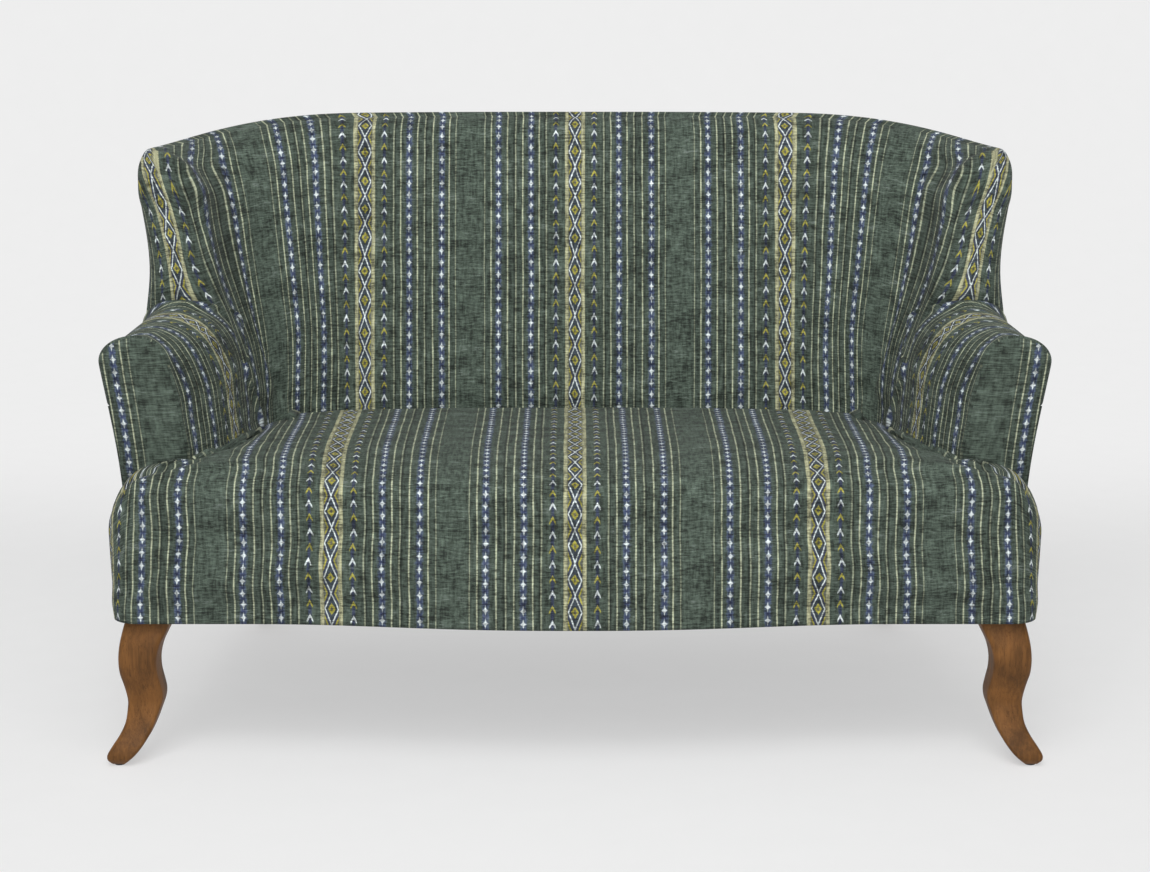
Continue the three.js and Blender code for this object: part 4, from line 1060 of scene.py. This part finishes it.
def make_facing(s, side, name):
    """The padded panel on the front of an arm."""
    section = arm_rows(s, np.zeros((ARM_ROWS, 1)))[:, 0]
    crest = ARM_INSIDE_ROWS + ARM_ROLL_ROWS - 1
    high = section[crest, 2]
    floor = s.leg_height + FACING_FOOT
    left, right = (evenly(line[line[:, 2] > floor], FACING_ROWS)
                   for line in (section[:crest + 1], section[:crest - 1:-1]))
    share = np.linspace(0, 1, FACING_COLUMNS)
    grid = left[:, None] + (right - left)[:, None] * share[None, :, None]
    edge = np.minimum(share, 1 - share)[None] * np.linalg.norm(right - left, axis=1)[:, None]
    rim = np.minimum(edge, high - grid[..., 2])
    grid[..., 1] = arm_front_of(s) + FACING_BACK - FACING_SWELL * ease(rim, *FACING_RIM)
    drawn_in = ease(grid[..., 2], s.seat_height - FACING_DRAWN, high + FACING_DRAWN)
    line = mixed(*FACING_LINE, drawn_in) * s.width / 2
    across = FACING_STRIPE + (line - grid[..., 0]) / s.repeat
    across -= FACING_SQUEEZE * np.maximum(across - FACING_BEND, 0)
    weave = np.stack([across, grid[..., 2]], axis=-1)
    grid[..., 0] *= side
    piece = grid_piece(f"facing_{name}", grid, weave)
    if side < 0:
        piece.data.flip_normals()
    finished(piece, FACING_THICK, finer=1)
    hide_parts(f"arm_facing_{name}")


# The seat

# The seat's plan: its half width as a share, its front corners and the sweep of its front edge.
SEAT_HALF = 0.984
SEAT_CORNER = 0.052
SEAT_CORNER_LEAST = 0.016
FRONT_SWEEP = 0.037
FRONT_SPAN = 0.66
FRONT_BEND = 1.3

# Its section: the crown, the roll in the middle and at the corners, the lean of the corners,
# how soon and how far out the top rises, and the crease along the back and the arms.
SEAT_CROWN = 0.008
SEAT_ROLL = (0.05, 0.1)
SEAT_LEAN = 0.008
SEAT_FLARE, SEAT_FLARE_HIGH = 0.006, 0.03
SEAT_RISE = 0.2
SEAT_LEVEL = 0.66
SEAT_JOIN_ROWS, SEAT_JOIN_TIMES = (3, 8), 4
CREASE_WIDE, CREASE_DEEP, CREASE_POINTS = 0.036, 0.013, 500

# Where the seat's top meets the back and the arms: how far below its crown, how far out the
# back is straight, where the wings are looked for from, the room left, and how far the top
# runs on behind the front of an arm.
SEAT_MEETS = 0.01
SEAT_STRAIGHT = 0.5
SEAT_PROBE = (0.9 * SEAT_STRAIGHT, -0.1)
SEAT_GAP = 0.002
SEAT_ARM_GAP = 0.004
SEAT_BEHIND_ARM = 0.077

# The widths of a repeat at the seat's front and at its back, and the depth between them.
SEAT_REPEATS = (0.377, 0.398)
SEAT_CLOTH_START, SEAT_CLOTH_RUN = 0.42, 0.59

SEAT_FRONT_COLUMNS = 62
SEAT_CORNER_COLUMNS = 9
SEAT_SIDE_COLUMNS = 8
SEAT_WALL_ROWS = 18
SEAT_ROLL_ROWS = 10
SEAT_TOP_ROWS = 52

# The rows over which the cloth goes from the run of the front to the run of the top.
SEAT_TURN_ROWS = (SEAT_WALL_ROWS - 3, SEAT_WALL_ROWS + SEAT_ROLL_ROWS + 2)


def front_edge(s, across):
    """How far back the front edge of the seat lies: least in the middle, most at the arms."""
    run = np.minimum(np.abs(across) / (FRONT_SPAN * s.width / 2), 1)
    return -s.depth / 2 + FRONT_SWEEP * ((1 - np.cos(math.pi * run)) / 2) ** FRONT_BEND


def seat_outline(s, drawn):
    """Plan of the right half of the seat's front, drawn in by a distance for each column."""
    half = SEAT_HALF * s.width / 2 - drawn
    radius = np.maximum(SEAT_CORNER - drawn, SEAT_CORNER_LEAST)
    straight = half - radius
    k = np.arange(SEAT_FRONT_COLUMNS + SEAT_CORNER_COLUMNS + SEAT_SIDE_COLUMNS)
    share = np.clip(k / (SEAT_FRONT_COLUMNS - 1), 0, 1)
    round_corner = np.clip((k - SEAT_FRONT_COLUMNS + 1) / SEAT_CORNER_COLUMNS, 0, 1)
    turn = round_corner * math.pi / 2
    down = np.clip((k - SEAT_FRONT_COLUMNS - SEAT_CORNER_COLUMNS + 1) / SEAT_SIDE_COLUMNS, 0, 1)
    x = straight * share + radius * np.sin(turn)
    edge = front_edge(s, np.minimum(x, straight * share + 1))
    y = np.where(turn > 0, front_edge(s, half), edge) + drawn + radius * (1 - np.cos(turn))
    y = mixed(y, arm_front_of(s) - SEAT_GAP, down)
    return np.stack([x, y], axis=-1), round_corner


def seat_half(s, trees):
    """The right half of the seat: rows up its front wall, over the roll and back along the top."""
    base = base_of(s)
    top = s.seat_height - SEAT_CROWN
    _, side = seat_outline(s, np.zeros(1))
    roll = mixed(*SEAT_ROLL, ease(side, 0, 1))
    rings = []
    for part in np.linspace(0, 1, SEAT_WALL_ROWS):
        z = mixed(base, top - roll, part)
        flare = SEAT_FLARE * ease(z - base, SEAT_FLARE_HIGH, 0)
        lean = side * (SEAT_LEAN * (1 - part) + flare)
        plan, _ = seat_outline(s, lean)
        rings.append(np.concatenate([plan, z[:, None]], axis=1))
    for turn in np.linspace(0, math.pi / 2, SEAT_ROLL_ROWS + 1)[1:]:
        plan, _ = seat_outline(s, roll * (1 - math.cos(turn)))
        z = top - roll * (1 - math.sin(turn))
        rings.append(np.concatenate([plan, z[:, None]], axis=1))
    rim = rings[-1]
    ends = rear_line(s, rim, trees)
    for part in np.linspace(0, 1, SEAT_TOP_ROWS + 1)[1:]:
        place = mixed(rim[:, :2], ends, part)
        rings.append(np.concatenate([place, np.full((len(rim), 1), top)], axis=1))
    grid = np.stack(rings)
    first = SEAT_WALL_ROWS + SEAT_ROLL_ROWS - 1
    flat = grid[first:]
    from_front = flat[..., 1] - rim[None, :, 1]
    rise = ease(from_front, 0, SEAT_RISE) * (1 - (np.abs(flat[..., 0]) / SEAT_LEVEL) ** 4)
    crease = evenly(np.concatenate([ends, [[s.width / 2, ends[-1, 1]]]]), CREASE_POINTS)
    near = np.min(np.linalg.norm(flat[..., None, :2] - crease, axis=-1), axis=-1)
    flat[..., 2] += SEAT_CROWN * np.clip(rise, 0, 1) - ease(near, CREASE_WIDE, 0) * CREASE_DEEP
    before, after = SEAT_JOIN_ROWS
    return eased_rows(grid, first - before, first + after, SEAT_JOIN_TIMES)


def rear_line(s, rim, trees):
    """Where each column of the seat's top ends, against the back, a wing or an arm."""
    level = s.seat_height - SEAT_MEETS
    half = s.width / 2
    inner_end = np.array([ARM_LINES["inner_low"][0] * half - SEAT_ARM_GAP,
                          arm_front_of(s) + SEAT_GAP])
    outer_end = inner_end + np.array([SEAT_BEHIND_ARM, 0.0])
    inner_column = len(rim) - 1 - SEAT_SIDE_COLUMNS
    start = np.array([SEAT_STRAIGHT, rear_of(s, level)])
    corner = np.array([TUB_LEVELS["seat"][0] * half, 0.0])
    last = np.argmax(rim[:, 0] > SEAT_STRAIGHT)
    ends = np.empty((len(rim), 2))
    for k in range(inner_column):
        if k < last:
            target = np.array([rim[k, 0], start[1]])
            origin = Vector((rim[k, 0], 0, level))
            way = Vector((0, 1, 0))
        else:
            share = (k - last) / (inner_column - last)
            target = (mixed(start, corner, min(share * 3, 1))
                      if share < 1 / 3 else mixed(corner, inner_end, (share - 1 / 3) * 1.5))
            origin = Vector((*SEAT_PROBE, level))
            way = (Vector((*target, level)) - origin).normalized()
        hits = [tree.ray_cast(origin, way) for tree in trees]
        near = min((hit for hit in hits if hit[0] is not None), key=lambda hit: hit[3],
                   default=None)
        place = np.array(near[0])[:2] if near else target
        ends[k] = place - np.array(way)[:2] * SEAT_GAP
    past = np.linspace(0, 1, SEAT_SIDE_COLUMNS + 1)[:, None]
    ends[inner_column:] = mixed(inner_end, outer_end, past)
    return ends


def seat_weave(grid):
    """Where each point of the seat lies in the cloth: repeats across, metres up and back."""
    x, y = grid[..., 0], grid[..., 1]
    on_top = x / mixed(*SEAT_REPEATS, (y + SEAT_CLOTH_START) / SEAT_CLOTH_RUN)
    outline = grid[SEAT_WALL_ROWS // 2]
    run = lengths(outline[None], 1)[0]
    start = SEAT_FRONT_COLUMNS - 1
    around = np.where(np.arange(len(run)) <= start, outline[:, 0],
                      outline[start, 0] + run - run[start])
    rows = np.arange(len(grid))[:, None]
    share = ease(rows, *SEAT_TURN_ROWS)
    across = mixed(around / SEAT_REPEATS[0], on_top, share)
    up = np.broadcast_to(lengths(grid[:, :1], 0), x.shape)
    return np.stack([across, up], axis=-1)


def make_seat(s):
    """Pads and covers the seat in one piece, down to the lower edge of its front."""
    half = seat_half(s, [tree_of(both_sides(tub_half(s))), tree_of(arm_half(s))])
    weave = both_sides(seat_weave(half))
    grid = both_sides(half)
    up, run = lengths(grid, 0), lengths(grid, 1)
    distance = np.minimum(np.minimum(up, up[-1:] - up), np.minimum(run, run[:, -1:] - run))
    piece = grid_piece("seat", grid, weave, None, seam_share(distance, SEAT_SEAM))
    swell(piece, SEAT_SLACK)
    finished(piece, COVER_THICK, finer=1)
    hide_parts("seat_cover", "seat_pad")


# The hidden cloths

# The cells of a hidden cloth, how flat and how level a face of its upper side is, the waves
# of its ripple and their height, the two thicknesses, and the sag of the dust cloth.
SHEET_CELLS = (24, 14)
SHEET_FLAT = 0.02
SHEET_LEVEL = 0.9
SHEET_WAVES = (31, 17)
SHEET_RIPPLE = 0.0006
CANVAS_THICK, DUST_THICK = 0.0018, 0.001
DUST_SAG = 0.004


def laid_sheet(name, node, sag, material, thick):
    """A thin sheet with the outline of a solid sheet, pulled tight with a little sag."""
    low, high = (np.array(corner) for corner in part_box(node))
    sheet_mesh = bpy.data.meshes.new(name)
    with edited(sheet_mesh) as work:
        work.from_mesh(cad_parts[node].data)
        bmesh.ops.dissolve_limit(work, angle_limit=SHEET_FLAT, verts=work.verts, edges=work.edges)
        rest = [face for face in work.faces if face.normal.z <= SHEET_LEVEL]
        bmesh.ops.delete(work, geom=rest, context="FACES")
        for axis, count in enumerate(SHEET_CELLS):
            normal = Vector((axis == 0, axis == 1, 0))
            for k in range(1, count):
                bmesh.ops.bisect_plane(
                    work, geom=work.verts[:] + work.edges[:] + work.faces[:],
                    plane_co=normal * mixed(low[axis], high[axis], k / count), plane_no=normal)
        centre, size = (low + high) / 2, (high - low) / 2
        for vertex in work.verts:
            x, y = ((vertex.co[k] - centre[k]) / size[k] for k in (0, 1))
            ripple = SHEET_RIPPLE * math.sin(x * SHEET_WAVES[0]) * math.sin(y * SHEET_WAVES[1])
            vertex.co.z -= sag * max(1 - x * x, 0) * max(1 - y * y, 0) + ripple * (1 - x * x)
    piece = placed(name, sheet_mesh)
    finished(piece, thick, material)
    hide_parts(node)
    return piece


# The legs

# Levels of a front leg, as shares of its height, and at each how far out and how far forward
# its middle lies, its width and its depth, as shares of LEG_WIDE.
FRONT_LEG = [
    (1, 0, 0, 1, 0.9), (0.9, 0.11, 0.1, 0.945, 0.88), (0.81, 0.205, 0.19, 0.865, 0.84),
    (0.71, 0.253, 0.24, 0.82, 0.78), (0.62, 0.247, 0.22, 0.81, 0.73),
    (0.535, 0.199, 0.16, 0.8, 0.68), (0.455, 0.163, 0.11, 0.79, 0.63),
    (0.4, 0.168, 0.09, 0.75, 0.6), (0.345, 0.203, 0.12, 0.7, 0.6),
    (0.25, 0.281, 0.23, 0.64, 0.6), (0.165, 0.411, 0.37, 0.645, 0.62),
    (0.11, 0.527, 0.47, 0.65, 0.63), (0.052, 0.651, 0.55, 0.58, 0.58),
    (0.025, 0.69, 0.58, 0.47, 0.48), (0, 0.7, 0.6, 0.3, 0.32),
]
LEG_WIDE = 0.073

# Where the legs stand, how the rear ones taper and splay, and the room over and under them.
FRONT_LEG_OUT = 0.89
FRONT_LEG_SETBACK = 0.016
REAR_LEG_WIDE = (0.05, 0.032)
REAR_LEG_OUT, REAR_LEG_SPLAY = 0.762, 0.038
REAR_LEG_TOP = 0.7
REAR_FOOT_SETBACK = 0.016
GLIDE_HIGH = 0.0034
LEG_GAP = 0.0004
LEG_EASE = 0.16
CORNER_POINTS = 7
LEG_SHARP = math.radians(40)

# The close rows of a front leg's foot, how far up they reach, and the rows above them.
FOOT_ROWS, FOOT_SHARE, FRONT_LEG_ROWS = 9, 0.06, 60

# The rows of a rear leg, how soon it is at its thinnest, how its foot narrows at the end, and
# how its splay and its rake bend.
REAR_LEG_ROWS = 40
REAR_LEG_THIN = 1.15
REAR_FOOT_NARROWS, REAR_FOOT_FROM = 0.1, 0.985
REAR_SPLAY_BEND, REAR_RAKE_BEND = 1.3, 1.35


def square_rings(centres, wide, deep):
    """Rings of eased squares round a line of centres."""
    rings = []
    for corner in range(4):
        way = np.array([1 if corner in (0, 3) else -1, 1 if corner < 2 else -1])
        for step in range(CORNER_POINTS):
            angle = (corner + step / (CORNER_POINTS - 1)) * math.pi / 2
            reach = way * (0.5 - LEG_EASE) + LEG_EASE * np.array([math.cos(angle), math.sin(angle)])
            rings.append(centres + np.stack([wide * reach[0], deep * reach[1], 0 * wide], axis=-1))
    return np.stack(rings, axis=1)


def leg_piece(name, rings, side, cutters):
    """A leg over rings of points, with room cut in it for its plate and its bolt."""
    rings = rings * np.array([side, 1, 1])
    rows, columns = rings.shape[:2]
    foot = list(range(columns))
    head = [(rows - 1) * columns + k for k in reversed(foot)]
    faces = [*quads_of(rows, columns, closed=True).tolist(), foot, head]
    piece = new_piece(name, rings, faces)
    with edited(piece.data) as work:
        bmesh.ops.remove_doubles(work, verts=work.verts, dist=LEG_WELD)
        bmesh.ops.recalc_face_normals(work, faces=work.faces)
    made = []
    for node in cutters:
        low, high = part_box(node)
        size, middle = high - low + Vector((CLEAR, CLEAR, CLEAR)), (low + high) / 2
        cutter = placed("recess", bpy.data.meshes.new("recess"))
        with edited(cutter.data) as tool:
            bmesh.ops.create_cube(tool, size=1)
            for vertex in tool.verts:
                vertex.co = vertex.co * size + middle
        cut = piece.modifiers.new("recess", "BOOLEAN")
        cut.object = cutter
        cut.solver = "EXACT"
        made.append(cutter)
    bpy.context.view_layer.update()
    applied(piece)
    for cutter in made:
        bpy.data.objects.remove(cutter)
    dressed(piece, "stained_walnut")
    piece.data.set_sharp_from_angle(angle=LEG_SHARP)
    return piece


def front_leg_rings(s):
    """The cabriole front leg, read smoothly through its measured levels."""
    table = np.array(FRONT_LEG)[::-1]
    at = np.concatenate([np.linspace(0, FOOT_SHARE, FOOT_ROWS),
                         np.linspace(FOOT_SHARE, 1, FRONT_LEG_ROWS)[1:]])[:, None]
    read = through(table[:, :1], table[:, None, 1:], at)[:, 0]
    leg_y = -s.depth / 2 + FRONT_SWEEP + FRONT_LEG_SETBACK + LEG_WIDE / 2
    centres = np.stack([
        FRONT_LEG_OUT * s.width / 2 + read[:, 0] * LEG_WIDE, leg_y - read[:, 1] * LEG_WIDE,
        mixed(GLIDE_HIGH, s.leg_height - LEG_GAP, at[:, 0])], axis=-1)
    return square_rings(centres, read[:, 2] * LEG_WIDE, read[:, 3] * LEG_WIDE)


def rear_leg_rings(s):
    """The rear leg, square and tapered, which rakes back to its foot."""
    down = np.linspace(1, 0, REAR_LEG_ROWS)
    wide = mixed(*REAR_LEG_WIDE, np.minimum(down * REAR_LEG_THIN, 1))
    wide *= 1 - REAR_FOOT_NARROWS * ease(down, REAR_FOOT_FROM, 1)
    top_y = (s.body_depth - s.depth / 2) * REAR_LEG_TOP
    foot_y = s.depth / 2 - REAR_FOOT_SETBACK
    centres = np.stack([
        REAR_LEG_OUT * s.width / 2 + REAR_LEG_SPLAY * down ** REAR_SPLAY_BEND,
        mixed(top_y, foot_y, down ** REAR_RAKE_BEND),
        mixed(s.leg_height - LEG_GAP, GLIDE_HIGH, down)], axis=-1)
    return square_rings(centres, wide, wide)


# The steps of the work

class SETTEE_OT_back(Operator):
    """Cover the inside and the outside of the back"""

    bl_idname = "settee.back"
    bl_label = "Back"

    def execute(self, context):
        make_back(context.scene.settee_sizes)
        return {"FINISHED"}


class SETTEE_OT_arms(Operator):
    """Pad and cover both arms, with their facings and outside panels"""

    bl_idname = "settee.arms"
    bl_label = "Arms"

    def execute(self, context):
        sizes = context.scene.settee_sizes
        for side, name in ((1, "right"), (-1, "left")):
            make_arm(sizes, side, name)
            make_facing(sizes, side, name)
        return {"FINISHED"}


class SETTEE_OT_seat(Operator):
    """Pad and cover the seat"""

    bl_idname = "settee.seat"
    bl_label = "Seat"

    def execute(self, context):
        make_seat(context.scene.settee_sizes)
        return {"FINISHED"}


class SETTEE_OT_hidden_cloths(Operator):
    """Stretch the canvas over the springs and the dust cloth under the base"""

    bl_idname = "settee.hidden_cloths"
    bl_label = "Canvas and dust cloth"

    def execute(self, context):
        canvas = laid_sheet("spring_canvas", "seat_canvas", 0.0, "open_hessian", CANVAS_THICK)
        dust = laid_sheet("dust_cloth", "dust_cover", DUST_SAG, "black_dust_cloth", DUST_THICK)
        return {"FINISHED"}


class SETTEE_OT_legs(Operator):
    """Shape the two cabriole front legs and the two rear legs"""

    bl_idname = "settee.legs"
    bl_label = "Legs"

    def execute(self, context):
        sizes = context.scene.settee_sizes
        for place, rings in (("front", front_leg_rings(sizes)), ("rear", rear_leg_rings(sizes))):
            for side, name in ((1, "right"), (-1, "left")):
                end = f"{place}_leg"
                leg = leg_piece(f"{place}_foot_{name}", rings, side,
                                [f"{end}_plate_{name}", f"{end}_bolt_{name}"])
                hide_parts(f"{end}_{name}")
        return {"FINISHED"}


FRAME_FINISHES = {
    "raw_beech": ("rail", "block", "post", "stump"),
    "drawn_steel": ("plate", "bolt", "spring"),
    "black_nylon": ("glide",),
    "open_hessian": ("canvas", "lining"),
    "black_dust_cloth": ("dust",),
    "stained_walnut": ("front_leg_", "rear_leg_"),
}


class SETTEE_OT_frame(Operator):
    """Finish the timber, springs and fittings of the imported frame"""

    bl_idname = "settee.frame"
    bl_label = "Frame and fittings"

    def execute(self, context):
        for name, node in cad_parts.items():
            finish = next((finish for finish, words in FRAME_FINISHES.items()
                           if any(word in name for word in words)), "stripe_cloth")
            node.data.materials.clear()
            node.data.materials.append(finishes()[finish])
        return {"FINISHED"}


# The stage

# The backdrop: half width, the ends of the floor, its height and the radius of its bend.
FLOOR_WIDE, FLOOR_NEAR, FLOOR_FAR, FLOOR_TALL, FLOOR_BEND = 14.0, -8.0, 5.0, 7.0, 2.0
FLOOR_SHARE = 0.86
WORLD_LIGHT = 0.36

# Each lamp: its place, what it faces, its width and height, its power and its spread.
LAMPS = {
    "key": ((-1.0, -5.5, 6.5), (0, 0, 0.5), (5.0, 4.0), 205, 180),
    "fill": ((0.6, -11.0, 2.4), (0, 0, 0.6), (6.0, 4.5), 125, 180),
    "top": ((0.0, -1.7, 3.1), (0, 0.1, 0.6), (3.0, 1.4), 36, 180),
    "low": ((0.0, -2.7, 1.5), (0, 0.2, 0.6), (1.4, 0.4), 1.4, 50),
}
CAMERA_LENS, CAMERA_FILM = 61.14, 36
CAMERA_PLACE = (0, -3.306, 1.097)
CAMERA_TILT = 79


def area_lamp(name, place, target, size, power, spread):
    lamp = bpy.data.lights.new(name, "AREA")
    lamp.shape = "RECTANGLE"
    lamp.size, lamp.size_y = size
    lamp.energy = power
    lamp.spread = math.radians(spread)
    holder = placed(name, lamp)
    holder.location = place
    holder.rotation_euler = (Vector(target) - Vector(place)).to_track_quat("-Z", "Y").to_euler()


def make_floor(colour):
    """The pale floor, which bends up into the backdrop."""
    level = FLOOR_FAR - FLOOR_BEND
    profile = [(y, 0.0) for y in (FLOOR_NEAR, -2.0, 0.0, level)]
    for turn in np.linspace(0, math.pi / 2, 13)[1:]:
        profile.append((level + FLOOR_BEND * math.sin(turn), FLOOR_BEND * (1 - math.cos(turn))))
    profile.append((FLOOR_FAR, FLOOR_TALL))
    stations = np.linspace(-FLOOR_WIDE, FLOOR_WIDE, 9)
    grid = np.array([[(x, y, z) for x in stations] for y, z in profile])
    floor = new_piece("floor", grid, quads_of(*grid.shape[:2]).tolist())
    f = Finish("floor_paint")
    place = f.place()
    tint = f.scaled(colour, 0.99 + f.noise(place, 3, 14) * 0.02)
    paint = f.add("ShaderNodeBsdfDiffuse", None, {"Color": f.scaled(tint, FLOOR_SHARE)})
    path = f.add("ShaderNodeLightPath")
    seen = f.add("ShaderNodeClamp", None, {
        0: path + path.out("Is Glossy Ray") + path.out("Is Transmission Ray")})
    # Where the camera sees it the floor glows, which keeps it pale, and more so far back
    far_back = f.fade(f.parts(place)[1], 0.8, 2.6)
    glow = f.add("ShaderNodeEmission", None, {"Color": f.scaled(tint, 1.27 - far_back * 0.25)})
    share = seen * (0.46 + far_back * 0.5)
    both = f.add("ShaderNodeMixShader", None, {0: share, 1: paint, 2: glow})
    f.add("ShaderNodeOutputMaterial", None, {"Surface": both})
    floor.data.materials.append(f.material)
    floor.data.shade_smooth()


class SETTEE_OT_stage(Operator):
    """Lay the pale floor and backdrop, and place the lamps and the camera"""

    bl_idname = "settee.stage"
    bl_label = "Stage"

    def execute(self, context):
        scene = context.scene
        make_floor(tuple(scene.settee_colours.floor))
        world = bpy.data.worlds.new("studio")
        world.use_nodes = True
        light = world.node_tree.nodes["Background"]
        light.inputs["Color"].default_value = (1, 1, 1, 1)
        light.inputs["Strength"].default_value = WORLD_LIGHT
        scene.world = world
        for name, settings in LAMPS.items():
            area_lamp(name, *settings)
        camera = bpy.data.cameras.new("camera")
        camera.lens = CAMERA_LENS
        camera.sensor_width = CAMERA_FILM
        holder = placed("camera", camera)
        holder.location = CAMERA_PLACE
        holder.rotation_euler = (math.radians(CAMERA_TILT), 0, 0)
        scene.camera = holder
        scene.view_settings.view_transform = "Standard"
        return {"FINISHED"}


OPERATORS = (
    SETTEE_OT_frame, SETTEE_OT_back, SETTEE_OT_arms, SETTEE_OT_seat, SETTEE_OT_hidden_cloths,
    SETTEE_OT_legs, SETTEE_OT_stage,
)


class SETTEE_PT_panel(Panel):
    """Lists the parts of the settee in the order in which they are made"""

    bl_label = "High back settee"
    bl_idname = "SETTEE_PT_panel"
    bl_space_type = "VIEW_3D"
    bl_region_type = "UI"
    bl_category = "Settee"

    def draw(self, context):
        for group in (context.scene.settee_sizes, context.scene.settee_colours):
            box = self.layout.box()
            for name in group.__annotations__:
                box.prop(group, name)
        for operator in OPERATORS:
            self.layout.operator(operator.bl_idname)


CLASSES = (SetteeSizes, SetteeColours, *OPERATORS, SETTEE_PT_panel)


def register():
    for kind in CLASSES:
        bpy.utils.register_class(kind)
    bpy.types.Scene.settee_sizes = PointerProperty(type=SetteeSizes)
    bpy.types.Scene.settee_colours = PointerProperty(type=SetteeColours)


def unregister():
    del bpy.types.Scene.settee_colours
    del bpy.types.Scene.settee_sizes
    for kind in reversed(CLASSES):
        bpy.utils.unregister_class(kind)


def main():
    register()
    bpy.ops.settee.frame()
    bpy.ops.settee.back()
    bpy.ops.settee.arms()
    bpy.ops.settee.seat()
    bpy.ops.settee.hidden_cloths()
    bpy.ops.settee.legs()
    bpy.ops.settee.stage()


if __name__ == "__main__":
    main()
